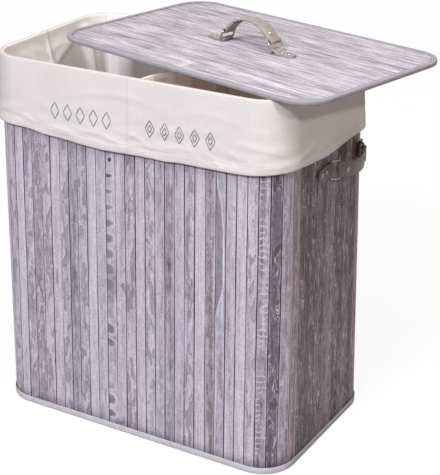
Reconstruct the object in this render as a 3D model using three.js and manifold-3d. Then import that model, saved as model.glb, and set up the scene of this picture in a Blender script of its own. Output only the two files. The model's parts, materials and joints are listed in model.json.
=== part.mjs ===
// Laundry hamper with two bins: a wall of bamboo slats, a sewn cotton liner with a turned-down
// cuff and a divider, a loose slatted lid that lies askew, and three riveted strap handles.
// Millimetres, +Z up. The origin is on the floor under the middle of the wall and the front
// faces -Y. The wall stands on the floor and draws in a little towards its rim.

import * as THREE from 'three';
import { mergeVertices } from 'three/addons/utils/BufferGeometryUtils.js';
import Module from 'manifold-3d';

// Wall, measured over the outer faces of the slats at the foot
const bodyLength = 520;
const bodyDepth = 312;
const bodyHeight = 588;
const bodyRadius = 54;
const rimDrawIn = 8;

// Slats: thin bamboo strips on a backing cloth, with a dark groove between neighbours
const slatPitch = 17.9;
const slatOffset = 7.6;
const slatGroove = 1.3;
const slatThickness = 2.2;
const backingThickness = 0.8;

// Hems: a folded tape that holds a steel hoop against each edge of the wall
const tapeThickness = 0.8;
const tapeEase = 0.5;
const footHemHeight = 11.5;
const rimHemHeight = 14;

// Base: a cloth panel sewn into the foot hem, and a loose stiffening board on it
const baseClothThickness = 0.8;
const baseBoardThickness = 3;

// Liner: one sewn bag with a divider, turned out over the rim as a cuff
const linerThickness = 1.2;
const cuffDrop = 107;
const cuffInnerDrop = 26;
const cuffFlare = 2.2;
const cuffHemHeight = 12;
const cuffHemExtra = 0.8;
const dividerThickness = 2.2;
const dividerDrop = 20;
const dividerHemHeight = 10;
const dividerHemExtra = 0.9;

// Lid: slats on a backing cloth over a board, lined below and bound with tape
const lidLength = 520;
const lidDepth = 322;
const lidRadius = 50;
const lidTapeWidth = 8;
const lidLiningThickness = 0.5;
const lidBoardThickness = 2;
const lidSlatThickness = 1.2;
const lidClothThickness = 0.5;
const lidShiftX = 80;
const lidShiftY = 62;
const lidTurn = THREE.MathUtils.degToRad(-13.4);

// Handles: two riveted leather tabs, a wire ring in each, and an arched strap between the rings
const tabLength = 35;
const tabTipWidth = 17;
const tabThickness = 3;
const tabLoopLeather = 1.5;
const strapWidth = 23;
const strapThickness = 2.2;
const strapLapLength = 25;
const strapLapThickness = 1.6;
const strapLoopSlack = 0.9;
const ringWire = 3;
const ringReach = 15;
const ringSideEase = 1;
const ringCornerRadius = 3.5;
const rivetShank = 3;
const rivetHead = 8;
const rivetDome = 2;
const rivetBackHead = 7;
const rivetBackThickness = 0.8;
const rivetTipInset = 10.5;
const rivetSpacing = 14.5;
const strapRivetInset = 14;
const strapCurvePower = 2.3;

// The two side handles and the one on the lid differ in their span and in how high they arch
const sideRingSpan = 100;
const sideRingAngle = THREE.MathUtils.degToRad(52);
const sideRingInset = 1;
const sideStrapRise = 11;
const sideHandleDrop = 31;
const lidRingSpan = 104;
const lidRingAngle = THREE.MathUtils.degToRad(70);
const lidStrapRise = 25;
const lidHandleShift = 9;

// Clearance between pieces that touch, overrun of every cut, and the weld of equal corners
const fitGap = 0.3;
const cutOverrun = 5;
const weldDistance = 0.001;

// Facets of the round stretches
const cornerSteps = 8;
const ringCornerSteps = 3;
const wireSides = 8;
const hoopSides = 6;
const loopSides = 16;
const rivetSides = 10;
const domeSteps = 2;
const strapSteps = 12;
const tipSteps = 7;
const tailSteps = 5;

// Sizes that follow from the ones above
const wallThickness = slatThickness + backingThickness;
const hoopWire = wallThickness;
const hemOuter = tapeEase + tapeThickness;
const hemInner = wallThickness + tapeEase + tapeThickness;
const wallInset = hemInner + fitGap;
const hoopSeat = tapeThickness + fitGap + hoopWire / 2;
const wallEnd = hoopSeat + hoopWire / 2 + fitGap;
const baseBoardBottom = baseClothThickness + fitGap;
const linerBottom = baseBoardBottom + baseBoardThickness + fitGap;
const cuffTop = bodyHeight + fitGap + linerThickness;
const lidBottom = cuffTop + fitGap;
const lidBoardBottom = tapeThickness + fitGap + lidLiningThickness + fitGap;
const lidClothBottom = lidBoardBottom + lidBoardThickness + fitGap;
const lidFace = lidClothBottom + lidClothThickness + lidSlatThickness;
const lidThickness = lidFace + fitGap + tapeThickness;
const ringWidth = strapWidth + 2 * ringSideEase + ringWire;
const tabBore = ringWire / 2 + fitGap;
const tabLoop = tabBore + tabLoopLeather;
const pivotHeight = fitGap + tabLoop;
const strapBore = ringWire / 2 + strapLoopSlack;
const strapLoop = strapBore + tabLoopLeather;
const wallLean = Math.atan2(rimDrawIn, bodyHeight);
const rimScaleX = 1 - rimDrawIn / (bodyLength / 2);
const rimScaleY = 1 - rimDrawIn / (bodyDepth / 2);
const outerRivetReach = tabLength - rivetTipInset;


// The side handles hang below the cuff. Their back ring stands just before the flat of the end
// wall stops, and the tab behind it follows the corner.
const sideHandleHeight = bodyHeight - cuffDrop - sideHandleDrop;
const sideHandleShare = sideHandleHeight / bodyHeight;
const sideFlatEnd = (bodyDepth / 2 - bodyRadius) * (1 - sideHandleShare * (1 - rimScaleY));
const sideHandleShift = sideFlatEnd - sideRingInset - sideRingSpan / 2;
const sideCornerRadius = bodyRadius * (1 - sideHandleShare * (1 - rimScaleX));
const cornerFacetDepth = bodyRadius * (1 - Math.cos(Math.PI / 4 / cornerSteps));
const cornerGripEase = cornerFacetDepth + rivetBackHead ** 2 / 4 / bodyRadius;

const wasm = await Module();
wasm.setup();

const colours = {
  slats: 0xb4adb6,
  tape: 0x9b9a9f,
  cotton: 0xe5e1dd,
  board: 0xa68f72,
  leather: 0x8d857e,
  nickel: 0xcfcdca,
  steel: 0x8b8d90,
};

function finish(colour, roughness, metalness = 0) {
  return new THREE.MeshStandardMaterial({ color: colour, roughness, metalness });
}

function slatFinish() {
  return finish(colours.slats, 0.75);
}

function tapeFinish() {
  return finish(colours.tape, 0.85);
}

function cottonFinish() {
  return finish(colours.cotton, 0.9);
}

function leatherFinish() {
  return finish(colours.leather, 0.55);
}

function nickelFinish() {
  return finish(colours.nickel, 0.25, 1);
}

// A closed geometry as a solid that can be joined and cut
function toSolid(geometry) {
  const bare = geometry.clone();
  bare.deleteAttribute('normal');
  bare.deleteAttribute('uv');
  const welded = mergeVertices(bare, weldDistance);
  return new wasm.Manifold(new wasm.Mesh({
    numProp: 3,
    vertProperties: Float32Array.from(welded.attributes.position.array),
    triVerts: Uint32Array.from(welded.index.array),
  }));
}

function toGeometry(solid) {
  const mesh = solid.getMesh();
  const geometry = new THREE.BufferGeometry();
  geometry.setAttribute('position', new THREE.BufferAttribute(mesh.vertProperties, 3));
  geometry.setIndex(new THREE.BufferAttribute(mesh.triVerts, 1));
  geometry.computeVertexNormals();
  return geometry;
}

// Joins geometries into one solid, cuts others out of it and keeps what lies inside the trim
function carve(joined, cuts = [], trim = null) {
  let solid = toSolid(joined[0]);
  for (const extra of joined.slice(1)) {
    solid = solid.add(toSolid(extra));
  }
  for (const cut of cuts) {
    solid = solid.subtract(toSolid(cut));
  }
  if (trim) {
    solid = solid.intersect(toSolid(trim));
  }
  return toGeometry(solid);
}

// A closed body from rows of corner points, each of which wraps round. The rows join up in a
// ring, or else the triangles that fill a row's section close the first and the last one.
function gridBody(rows, caps = null) {
  const columns = rows[0].length;
  const positions = rows.flat().flatMap((point) => [point.x, point.y, point.z]);
  const triangles = [];
  const spans = caps ? rows.length - 1 : rows.length;
  for (let i = 0; i < spans; i += 1) {
    const next = (i + 1) % rows.length;
    for (let j = 0; j < columns; j += 1) {
      const beside = (j + 1) % columns;
      const [a, b] = [i * columns + j, next * columns + j];
      const [c, d] = [next * columns + beside, i * columns + beside];
      triangles.push(a, c, b, a, d, c);
    }
  }
  for (const [a, b, c] of caps ?? []) {
    const last = spans * columns;
    triangles.push(a, b, c, last + c, last + b, last + a);
  }
  const geometry = new THREE.BufferGeometry();
  geometry.setAttribute('position', new THREE.Float32BufferAttribute(positions, 3));
  geometry.setIndex(triangles);
  geometry.computeVertexNormals();
  return geometry;
}

// Stations round a rectangle with rounded corners, anticlockwise seen from above:
// each gives the corner's centre, its radius and the direction that points out
function outlineStations(outline, steps) {
  const stations = [];
  for (let corner = 0; corner < 4; corner += 1) {
    const signX = corner === 0 || corner === 3 ? 1 : -1;
    const signY = corner < 2 ? 1 : -1;
    for (let step = 0; step <= steps; step += 1) {
      const angle = (corner + step / steps) * Math.PI / 2;
      stations.push({
        x: signX * (outline.length / 2 - outline.radius),
        y: signY * (outline.depth / 2 - outline.radius),
        radius: outline.radius,
        outX: Math.cos(angle),
        outY: Math.sin(angle),
      });
    }
  }
  return stations;
}

function stationPoint(station, out, z) {
  const reach = station.radius + out;
  return new THREE.Vector3(station.x + reach * station.outX, station.y + reach * station.outY, z);
}

// Sweeps a closed profile of [out, z] pairs, given clockwise, round the outline
function ringBody(outline, profile, steps) {
  const stations = outlineStations(outline, steps);
  return gridBody(stations.map((station) => (
    profile.map(([out, z]) => stationPoint(station, out, z))
  )));
}

// One side's share of such a sweep, from the middle of a corner to the middle of the next.
// The sides meet there in a seam, half of whose gap comes off each end.
function panelBody(outline, profile, side) {
  const all = outlineStations(outline, cornerSteps);
  const first = side * (cornerSteps + 1) + cornerSteps / 2;
  const last = cornerSteps + 1;
  const rows = [];
  for (let step = 0; step <= last; step += 1) {
    const station = all[(first + step) % all.length];
    const seam = (step === 0 ? fitGap / 2 : 0) - (step === last ? fitGap / 2 : 0);
    const along = new THREE.Vector3(-station.outY, station.outX, 0);
    rows.push(profile.map(([out, z]) => (
      stationPoint(station, out, z).addScaledVector(along, seam)
    )));
  }
  const section = profile.map(([out, z]) => new THREE.Vector2(out, z));
  return gridBody(rows, THREE.ShapeUtils.triangulateShape(section, []));
}

function outlinePoints(outline, inset) {
  return outlineStations(outline, cornerSteps).map((station) => {
    const point = stationPoint(station, -inset, 0);
    return new THREE.Vector2(point.x, point.y);
  });
}

// A flat plate with the outline's shape, drawn in by an inset
function plate(outline, inset, bottom, thickness) {
  const shape = new THREE.Shape(outlinePoints(outline, inset));
  const geometry = new THREE.ExtrudeGeometry(shape, { depth: thickness, bevelEnabled: false });
  return geometry.translate(0, 0, bottom);
}

// A rod with its axis along Z between two heights
function rod(radius, bottom, top, sides) {
  const geometry = new THREE.CylinderGeometry(radius, radius, top - bottom, sides);
  return geometry.rotateX(Math.PI / 2).translate(0, 0, (top + bottom) / 2);
}

// A rod with its axis along Y, centred on the middle plane of a strap
function crossRod(radius, width, x, z, sides) {
  const geometry = new THREE.CylinderGeometry(radius, radius, width, sides);
  return geometry.translate(x, 0, z);
}

// A profile drawn in X and Z, extruded along Y and centred on the middle plane
function crossExtrusion(points, width) {
  const shape = new THREE.Shape(points);
  const geometry = new THREE.ExtrudeGeometry(shape, { depth: width, bevelEnabled: false });
  return geometry.rotateX(Math.PI / 2).translate(0, width / 2, 0);
}

// Draws the wall and all that follows it in towards the rim, in proportion to height
function leanIn(geometry) {
  const place = geometry.attributes.position;
  for (let i = 0; i < place.count; i += 1) {
    const share = place.getZ(i) / bodyHeight;
    place.setX(i, place.getX(i) * (1 - share * (1 - rimScaleX)));
    place.setY(i, place.getY(i) * (1 - share * (1 - rimScaleY)));
  }
  geometry.computeVertexNormals();
  return geometry;
}

// Draws what hangs inside the wall in to the rim's size all the way down, so it can be lifted out
function hangIn(geometry) {
  return geometry.scale(rimScaleX, rimScaleY, 1);
}

// The sides of an outline, in the order of its stations
const outlineSides = ['back', 'left', 'front', 'right'];
const bodyOutline = { length: bodyLength, depth: bodyDepth, radius: bodyRadius };
const lidOutline = { length: lidLength, depth: lidDepth, radius: lidRadius };

// The point at a walked distance along the body's outline, from the middle of the back
function walkOutline(distance, inset) {
  const straights = [bodyLength - 2 * bodyRadius, bodyDepth - 2 * bodyRadius];
  const arc = bodyRadius * Math.PI / 2;
  const perimeter = 2 * (straights[0] + straights[1]) + 4 * arc;
  let left = (distance + straights[0] / 2) % perimeter;
  for (let side = 0; side < 4; side += 1) {
    const run = straights[side % 2];
    const angle = (1 + side) * Math.PI / 2;
    const out = new THREE.Vector2(Math.cos(angle), Math.sin(angle));
    const along = new THREE.Vector2(-out.y, out.x);
    const start = new THREE.Vector2(
      (side === 0 || side === 3 ? 1 : -1) * straights[0] / 2,
      (side < 2 ? 1 : -1) * straights[1] / 2,
    );
    if (left <= run) {
      return start.addScaledVector(along, left).addScaledVector(out, bodyRadius - inset);
    }
    left -= run;
    if (left <= arc) {
      const turned = angle + left / bodyRadius;
      const heading = new THREE.Vector2(Math.cos(turned), Math.sin(turned));
      return start.addScaledVector(along, run).addScaledVector(heading, bodyRadius - inset);
    }
    left -= arc;
  }
  return walkOutline(0, inset);
}

// Slats stand side by side round the whole wall, each a flat strip, on their backing cloth
function slatWallGeometry() {
  const perimeter = 2 * (bodyLength + bodyDepth - 4 * bodyRadius) + 2 * Math.PI * bodyRadius;
  const count = Math.round(perimeter / slatPitch);
  const pitch = perimeter / count;
  const points = [];
  for (let slat = 0; slat < count; slat += 1) {
    const first = slat * pitch + slatOffset + slatGroove / 2;
    const last = (slat + 1) * pitch + slatOffset - slatGroove / 2;
    points.push(walkOutline(first, 0));
    points.push(walkOutline(last, 0));
    points.push(walkOutline(last, slatThickness));
    points.push(walkOutline(last + slatGroove, slatThickness));
  }
  const shape = new THREE.Shape(points);
  shape.holes.push(new THREE.Path(outlinePoints(bodyOutline, wallThickness)));
  const depth = bodyHeight - 2 * wallEnd;
  const geometry = new THREE.ExtrudeGeometry(shape, { depth, bevelEnabled: false });
  return leanIn(geometry.translate(0, 0, wallEnd));
}

// A tape folded round one edge of the wall: two legs and a bend, seen in section
function hemProfile(edge, height) {
  const towards = edge > 0 ? -1 : 1;
  const legEnd = edge + towards * height;
  const bend = edge + towards * tapeThickness;
  const section = [
    [hemOuter, edge],
    [-hemInner, edge],
    [-hemInner, legEnd],
    [tapeThickness - hemInner, legEnd],
    [tapeThickness - hemInner, bend],
    [tapeEase, bend],
    [tapeEase, legEnd],
    [hemOuter, legEnd],
  ];
  return edge > 0 ? section.reverse() : section;
}

function hoopProfile(height) {
  const profile = [];
  for (let side = 0; side < hoopSides; side += 1) {
    const angle = -side / hoopSides * 2 * Math.PI;
    profile.push([
      hoopWire / 2 * Math.cos(angle) - wallThickness / 2,
      hoopWire / 2 * Math.sin(angle) + height,
    ]);
  }
  return profile;
}

// The cuff turns over the rim, flares a little as it hangs and ends in a stitched hem. Its
// inner leg stands off the lean of the wall by as much as the wall draws in along it.
function cuffProfile() {
  const innerFoot = bodyHeight - cuffInnerDrop;
  const innerLeg = -wallInset - rimDrawIn * cuffInnerDrop / bodyHeight;
  const outerFoot = bodyHeight - cuffDrop;
  const inside = hemOuter + fitGap;
  const outside = inside + linerThickness;
  const bend = bodyHeight + fitGap;
  const hemTop = outerFoot + cuffHemHeight;
  const hemShare = cuffHemHeight / cuffDrop;
  const hemFlare = cuffFlare * (1 - hemShare);
  return [
    [innerLeg - linerThickness, innerFoot],
    [-wallInset - linerThickness, bend],
    [-wallInset - linerThickness / 2, cuffTop - linerThickness / 4],
    [-wallInset + linerThickness / 2, cuffTop],
    [inside - linerThickness / 2, cuffTop],
    [inside + linerThickness / 2, cuffTop - linerThickness / 4],
    [outside, bend - linerThickness / 2],
    [outside + hemFlare, hemTop],
    [outside + hemFlare + cuffHemExtra, hemTop],
    [outside + cuffFlare + cuffHemExtra, outerFoot],
    [inside + cuffFlare, outerFoot],
    [inside, bend],
    [-wallInset, bend],
    [innerLeg, innerFoot],
  ];
}

// The bag's wall hangs straight down from the cuff and stands on its bottom panel
function bagProfile() {
  const bottom = linerBottom + linerThickness + fitGap;
  const top = bodyHeight - cuffInnerDrop - fitGap;
  return [
    [-wallInset - linerThickness, bottom],
    [-wallInset - linerThickness, top],
    [-wallInset, top],
    [-wallInset, bottom],
  ];
}

// A doubled cloth panel that parts the two bins, with a thicker hem along its upper edge
function dividerGeometry() {
  const bottom = linerBottom + linerThickness + fitGap;
  const top = bodyHeight - dividerDrop;
  const width = bodyDepth - 2 * (wallInset + linerThickness + fitGap);
  const panel = dividerThickness / 2;
  const hem = panel + dividerHemExtra;
  const hemBottom = top - dividerHemHeight;
  const hemBevel = dividerHemExtra;
  return hangIn(crossExtrusion([
    new THREE.Vector2(-panel, bottom),
    new THREE.Vector2(panel, bottom),
    new THREE.Vector2(panel, hemBottom - hemBevel),
    new THREE.Vector2(hem, hemBottom),
    new THREE.Vector2(hem, top - hemBevel),
    new THREE.Vector2(panel, top),
    new THREE.Vector2(-panel, top),
    new THREE.Vector2(-hem, top - hemBevel),
    new THREE.Vector2(-hem, hemBottom),
    new THREE.Vector2(-panel, hemBottom - hemBevel),
  ], width));
}

// The lid's slats run lengthwise; their section is extruded and trimmed to the lid's outline
function lidSlatGeometry(holes) {
  const inset = tapeThickness + tapeEase;
  const count = Math.round((lidDepth - 2 * inset) / slatPitch);
  const pitch = (lidDepth - 2 * inset) / count;
  const grooveFloor = lidClothBottom + lidClothThickness;
  const edge = lidDepth / 2;
  const points = [
    new THREE.Vector2(edge, lidClothBottom),
    new THREE.Vector2(edge, lidFace),
  ];
  for (let slat = 1; slat < count; slat += 1) {
    const middle = lidDepth / 2 - inset - slat * pitch;
    points.push(new THREE.Vector2(middle + slatGroove / 2, lidFace));
    points.push(new THREE.Vector2(middle + slatGroove / 2, grooveFloor));
    points.push(new THREE.Vector2(middle - slatGroove / 2, grooveFloor));
    points.push(new THREE.Vector2(middle - slatGroove / 2, lidFace));
  }
  points.push(new THREE.Vector2(-edge, lidFace));
  points.push(new THREE.Vector2(-edge, lidClothBottom));
  const slats = crossExtrusion(points, lidLength).rotateZ(-Math.PI / 2);
  const trim = plate(lidOutline, inset, lidClothBottom - cutOverrun, lidFace + 2 * cutOverrun);
  return carve([slats], holes, trim);
}

// The lid's tape folds over its edge and covers a narrow border above and below
function lidTapeProfile() {
  return [
    [0, 0],
    [-lidTapeWidth, 0],
    [-lidTapeWidth, tapeThickness],
    [-tapeThickness, tapeThickness],
    [-tapeThickness, lidThickness - tapeThickness],
    [-lidTapeWidth, lidThickness - tapeThickness],
    [-lidTapeWidth, lidThickness],
    [0, lidThickness],
  ];
}

// Where a distance along a surface comes to lie if the surface curves away beyond a start
function placeAlong(x, bend) {
  const along = bend ? Math.max(x - bend.start, 0) : 0;
  if (along === 0) {
    return { x, z: 0, tilt: 0 };
  }
  const tilt = along / bend.radius;
  return {
    x: bend.start + bend.radius * Math.sin(tilt),
    z: bend.radius * (Math.cos(tilt) - 1),
    tilt,
  };
}

// Lays a flat piece over that curved surface, its thickness square to the surface
function bendAlong(geometry, bend) {
  const place = geometry.attributes.position;
  for (let i = 0; i < place.count; i += 1) {
    const height = place.getZ(i);
    const at = placeAlong(place.getX(i), bend);
    place.setX(i, at.x + height * Math.sin(at.tilt));
    place.setZ(i, at.z + height * Math.cos(at.tilt));
  }
  geometry.computeVertexNormals();
  return geometry;
}

// A leather tab: a tapered tail with a round tip, folded into a loop round the ring's bar.
// Its frame has the surface at Z 0, the ring's bar over the origin and the tail along +X.
function tabGeometry(bend) {
  const tail = fitGap + tabThickness;
  const tailStart = tabLoop + tabBore;
  const tipRadius = tabTipWidth / 2;
  const tipStart = tabLength - tipRadius;
  const steps = bend ? tailSteps : 1;
  const under = [];
  const over = [];
  const edge = [];
  for (let step = 0; step <= steps; step += 1) {
    const share = step / steps;
    under.push(new THREE.Vector2(tabLength * share, fitGap));
    over.push(new THREE.Vector2(tabLength + (tailStart - tabLength) * share, tail));
    edge.push([tipStart * share, strapWidth / 2 + (tipRadius - strapWidth / 2) * share]);
  }
  const section = crossExtrusion([
    ...under,
    ...over,
    new THREE.Vector2(tabLoop / 2, pivotHeight + tabLoop * Math.sqrt(3) / 2),
    new THREE.Vector2(0, pivotHeight),
  ], strapWidth);
  const loop = crossRod(tabLoop, strapWidth, 0, pivotHeight, loopSides);
  const bore = crossRod(tabBore, strapWidth + cutOverrun, 0, pivotHeight, loopSides);
  const holes = rivetPlaces().map((x) => {
    const at = placeAlong(x, bend);
    return rivetHole(tail).rotateY(at.tilt).translate(at.x, 0, at.z);
  });
  const plan = new THREE.Shape();
  plan.moveTo(-tabLoop - cutOverrun, -strapWidth / 2);
  edge.forEach(([x, y]) => plan.lineTo(x, -y));
  for (let step = 1; step < tipSteps; step += 1) {
    const angle = (step / tipSteps - 0.5) * Math.PI;
    plan.lineTo(tipStart + tipRadius * Math.cos(angle), tipRadius * Math.sin(angle));
  }
  edge.reverse().forEach(([x, y]) => plan.lineTo(x, y));
  plan.lineTo(-tabLoop - cutOverrun, strapWidth / 2);
  const height = pivotHeight + tabLoop + 2 * cutOverrun;
  const trim = new THREE.ExtrudeGeometry(plan, { depth: height, bevelEnabled: false });
  return carve(
    [bendAlong(section, bend), loop],
    [bore, ...holes],
    bendAlong(trim.translate(0, 0, -cutOverrun), bend),
  );
}

// Rivets sit one behind the other on the tab's middle line, measured from the ring's bar
function rivetPlaces() {
  return [outerRivetReach - rivetSpacing, outerRivetReach];
}

function rivetHole(top) {
  return rod(rivetShank / 2 + fitGap, -cutOverrun, top + cutOverrun, rivetSides);
}

// A rivet with a domed head that grips a stack between two heights of its own axis
function rivetGeometry(bottom, top) {
  const profile = [
    new THREE.Vector2(0, bottom - rivetBackThickness),
    new THREE.Vector2(rivetBackHead / 2, bottom - rivetBackThickness),
    new THREE.Vector2(rivetBackHead / 2, bottom),
    new THREE.Vector2(rivetShank / 2, bottom),
    new THREE.Vector2(rivetShank / 2, top),
  ];
  for (let step = 0; step <= domeSteps; step += 1) {
    const angle = step / domeSteps * Math.PI / 2;
    profile.push(new THREE.Vector2(
      step === domeSteps ? 0 : rivetHead / 2 * Math.cos(angle),
      top + rivetDome * Math.sin(angle),
    ));
  }
  return new THREE.LatheGeometry(profile, rivetSides).rotateX(Math.PI / 2);
}

// A ring of wire in the XY plane, with one bar over the origin and the other along +X
function ringGeometry() {
  const outline = { length: ringReach, depth: ringWidth, radius: ringCornerRadius };
  const profile = [];
  for (let side = 0; side < wireSides; side += 1) {
    const angle = -(side + 0.5) / wireSides * 2 * Math.PI;
    profile.push([ringWire / 2 * Math.cos(angle), ringWire / 2 * Math.sin(angle)]);
  }
  return ringBody(outline, profile, ringCornerSteps).translate(ringReach / 2, 0, 0);
}

const sideArch = { span: sideRingSpan, ringAngle: sideRingAngle, rise: sideStrapRise };
const lidArch = { span: lidRingSpan, ringAngle: lidRingAngle, rise: lidStrapRise };

// The strap's middle line: an arch between the bars of the two rings. The share runs from
// -1 at one bar to 1 at the other; the result has the place and the direction that points up.
function strapPoint(arch, share) {
  const half = arch.span / 2 - ringReach * Math.cos(arch.ringAngle);
  const foot = pivotHeight + ringReach * Math.sin(arch.ringAngle);
  const bend = Math.abs(share) ** strapCurvePower;
  const slope = -arch.rise / half * strapCurvePower
    * Math.sign(share) * Math.abs(share) ** (strapCurvePower - 1);
  const up = new THREE.Vector2(-slope, 1).normalize();
  return { place: new THREE.Vector2(half * share, foot + arch.rise * (1 - bend)), up, half };
}

// A length along the strap from a ring's bar, as a share of the middle line
function strapShare(arch, length) {
  let share = 1;
  let walked = 0;
  let last = strapPoint(arch, share).place;
  while (walked < length) {
    share -= 1 / strapSteps ** 2;
    const next = strapPoint(arch, share).place;
    walked += next.distanceTo(last);
    last = next;
  }
  return share;
}

// The strap is one band, folded round each ring's bar and doubled back under itself
function strapGeometry(arch) {
  const lapShare = strapShare(arch, strapLapLength);
  const upper = [];
  const lower = [];
  const offset = (share, out) => {
    const { place, up } = strapPoint(arch, share);
    return place.clone().addScaledVector(up, out);
  };
  const shares = [-lapShare, lapShare];
  for (let step = 0; step <= strapSteps; step += 1) {
    shares.push(step / strapSteps * 2 - 1);
  }
  shares.sort((a, b) => a - b);
  for (const share of shares) {
    const single = -strapThickness / 2;
    const doubled = single - strapLapThickness;
    upper.push(offset(share, strapThickness / 2));
    if (share === -lapShare) {
      lower.push(offset(share, doubled), offset(share, single));
    } else if (share === lapShare) {
      lower.push(offset(share, single), offset(share, doubled));
    } else {
      lower.push(offset(share, Math.abs(share) > lapShare ? doubled : single));
    }
  }
  const band = crossExtrusion([...lower, ...upper.reverse()], strapWidth);
  const { place, half } = strapPoint(arch, 1);
  const joined = [band];
  const cuts = [];
  for (const side of [-1, 1]) {
    joined.push(crossRod(strapLoop, strapWidth, side * half, place.y, loopSides));
    cuts.push(crossRod(strapBore, strapWidth + cutOverrun, side * half, place.y, loopSides));
    const { at, tilt } = strapRivetPlace(arch, side);
    const hole = rivetHole(strapThickness).translate(0, 0, -strapThickness / 2);
    cuts.push(hole.rotateY(tilt).translate(at.x, 0, at.y));
  }
  return carve(joined, cuts);
}

// Where a strap's rivet stands, and how far its axis tilts towards the strap's end
function strapRivetPlace(arch, side) {
  const share = side * strapShare(arch, strapRivetInset);
  const { place, up } = strapPoint(arch, share);
  return { at: place, tilt: Math.atan2(up.x, up.y) };
}

function named(name, geometry, material) {
  const mesh = new THREE.Mesh(geometry, material);
  mesh.name = name;
  return mesh;
}

// A handle in its own frame: the surface at Z 0, the strap along X and its middle over the
// origin. The grip is the thickness of what its tabs are riveted to, and a bend says for an
// end how the surface curves away under its tab.
function buildHandle(prefix, ends, arch, grip, bends = {}) {
  const handle = new THREE.Group();
  ends.forEach((end, index) => {
    const half = new THREE.Group();
    half.rotation.z = index === 0 ? Math.PI : 0;
    const bend = bends[end];
    const tab = named(`${prefix}_tab_${end}`, tabGeometry(bend), leatherFinish());
    tab.position.x = arch.span / 2;
    half.add(tab);
    rivetPlaces().forEach((x, place) => {
      const under = grip + fitGap + (bend ? cornerGripEase : 0);
      const stack = rivetGeometry(-under, fitGap + tabThickness + fitGap);
      const label = `${prefix}_tab_rivet_${end}_${place + 1}`;
      const rivet = named(label, stack, nickelFinish());
      const at = placeAlong(x, bend);
      rivet.position.set(arch.span / 2 + at.x, 0, at.z);
      rivet.rotation.y = at.tilt;
      half.add(rivet);
    });
    const ring = named(`${prefix}_ring_${end}`, ringGeometry(), nickelFinish());
    ring.position.set(arch.span / 2, 0, pivotHeight);
    ring.rotation.y = arch.ringAngle - Math.PI;
    half.add(ring);
    handle.add(half);
    const { at, tilt } = strapRivetPlace(arch, index === 0 ? -1 : 1);
    const doubled = strapThickness / 2 + strapLapThickness + fitGap;
    const stack = rivetGeometry(-doubled, strapThickness / 2 + fitGap);
    const rivet = named(`${prefix}_strap_rivet_${end}`, stack, nickelFinish());
    rivet.position.set(at.x, 0, at.y);
    rivet.rotation.y = tilt;
    handle.add(rivet);
  });
  handle.add(named(`${prefix}_strap`, strapGeometry(arch), leatherFinish()));
  return handle;
}

// A side handle's frame on the leaning end wall: X to the back or front, Z out of the wall
function placeSideHandle(handle, side) {
  const reach = bodyLength / 2 - rimDrawIn * sideHandleHeight / bodyHeight;
  const along = new THREE.Vector3(0, side, 0);
  const out = new THREE.Vector3(side * Math.cos(wallLean), 0, Math.sin(wallLean));
  const frame = new THREE.Matrix4().makeBasis(along, out.clone().cross(along), out);
  frame.setPosition(side * reach, sideHandleShift, sideHandleHeight);
  handle.applyMatrix4(frame);
  handle.updateMatrixWorld(true);
}

// The holes that a handle's rivets need in what carries it, in that piece's frame
function tabRivetHoles(ends, arch, frame, bends = {}) {
  const bottom = -wallThickness - lidThickness;
  return ends.flatMap((end, index) => rivetPlaces().map((x) => {
    const at = placeAlong(x, bends[end]);
    const hole = rod(rivetShank / 2 + fitGap, bottom, cutOverrun, rivetSides);
    hole.rotateY(at.tilt).translate(arch.span / 2 + at.x, 0, at.z);
    return hole.rotateZ(index === 0 ? Math.PI : 0).applyMatrix4(frame);
  }));
}

function buildBody() {
  const body = new THREE.Group();
  const bends = { back: { start: sideRingInset, radius: sideCornerRadius } };
  const sides = [
    ['right_handle', ['front', 'back'], 1],
    ['left_handle', ['back', 'front'], -1],
  ];
  const holes = [];
  for (const [prefix, ends, side] of sides) {
    const handle = buildHandle(prefix, ends, sideArch, wallThickness, bends);
    placeSideHandle(handle, side);
    holes.push(...tabRivetHoles(ends, sideArch, handle.matrix, bends));
    body.add(handle);
  }
  const wall = carve([slatWallGeometry()], holes);
  body.add(named('slat_wall', wall, slatFinish()));
  const hems = [
    ['foot_hem_tape', 0, footHemHeight],
    ['rim_hem_tape', bodyHeight, rimHemHeight],
  ];
  for (const [name, edge, height] of hems) {
    const hem = ringBody(bodyOutline, hemProfile(edge, height), cornerSteps);
    body.add(named(name, leanIn(hem), tapeFinish()));
  }
  const hoops = [
    ['foot_hoop', hoopSeat],
    ['rim_hoop', bodyHeight - hoopSeat],
  ];
  for (const [name, height] of hoops) {
    const hoop = ringBody(bodyOutline, hoopProfile(height), cornerSteps);
    body.add(named(name, leanIn(hoop), finish(colours.steel, 0.4, 1)));
  }
  const cloth = leanIn(plate(bodyOutline, wallInset, 0, baseClothThickness));
  body.add(named('base_cloth', cloth, tapeFinish()));
  const board = leanIn(plate(bodyOutline, wallInset, baseBoardBottom, baseBoardThickness));
  body.add(named('base_board', board, finish(colours.board, 0.8)));
  return body;
}

function buildLiner() {
  const liner = new THREE.Group();
  outlineSides.forEach((side, index) => {
    const cuff = leanIn(panelBody(bodyOutline, cuffProfile(), index));
    liner.add(named(`liner_cuff_${side}`, cuff, cottonFinish()));
    const bag = hangIn(panelBody(bodyOutline, bagProfile(), index));
    liner.add(named(`liner_bag_${side}`, bag, cottonFinish()));
  });
  const bottom = hangIn(plate(bodyOutline, wallInset, linerBottom, linerThickness));
  liner.add(named('liner_bottom', bottom, cottonFinish()));
  liner.add(named('liner_divider', dividerGeometry(), cottonFinish()));
  return liner;
}

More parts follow.
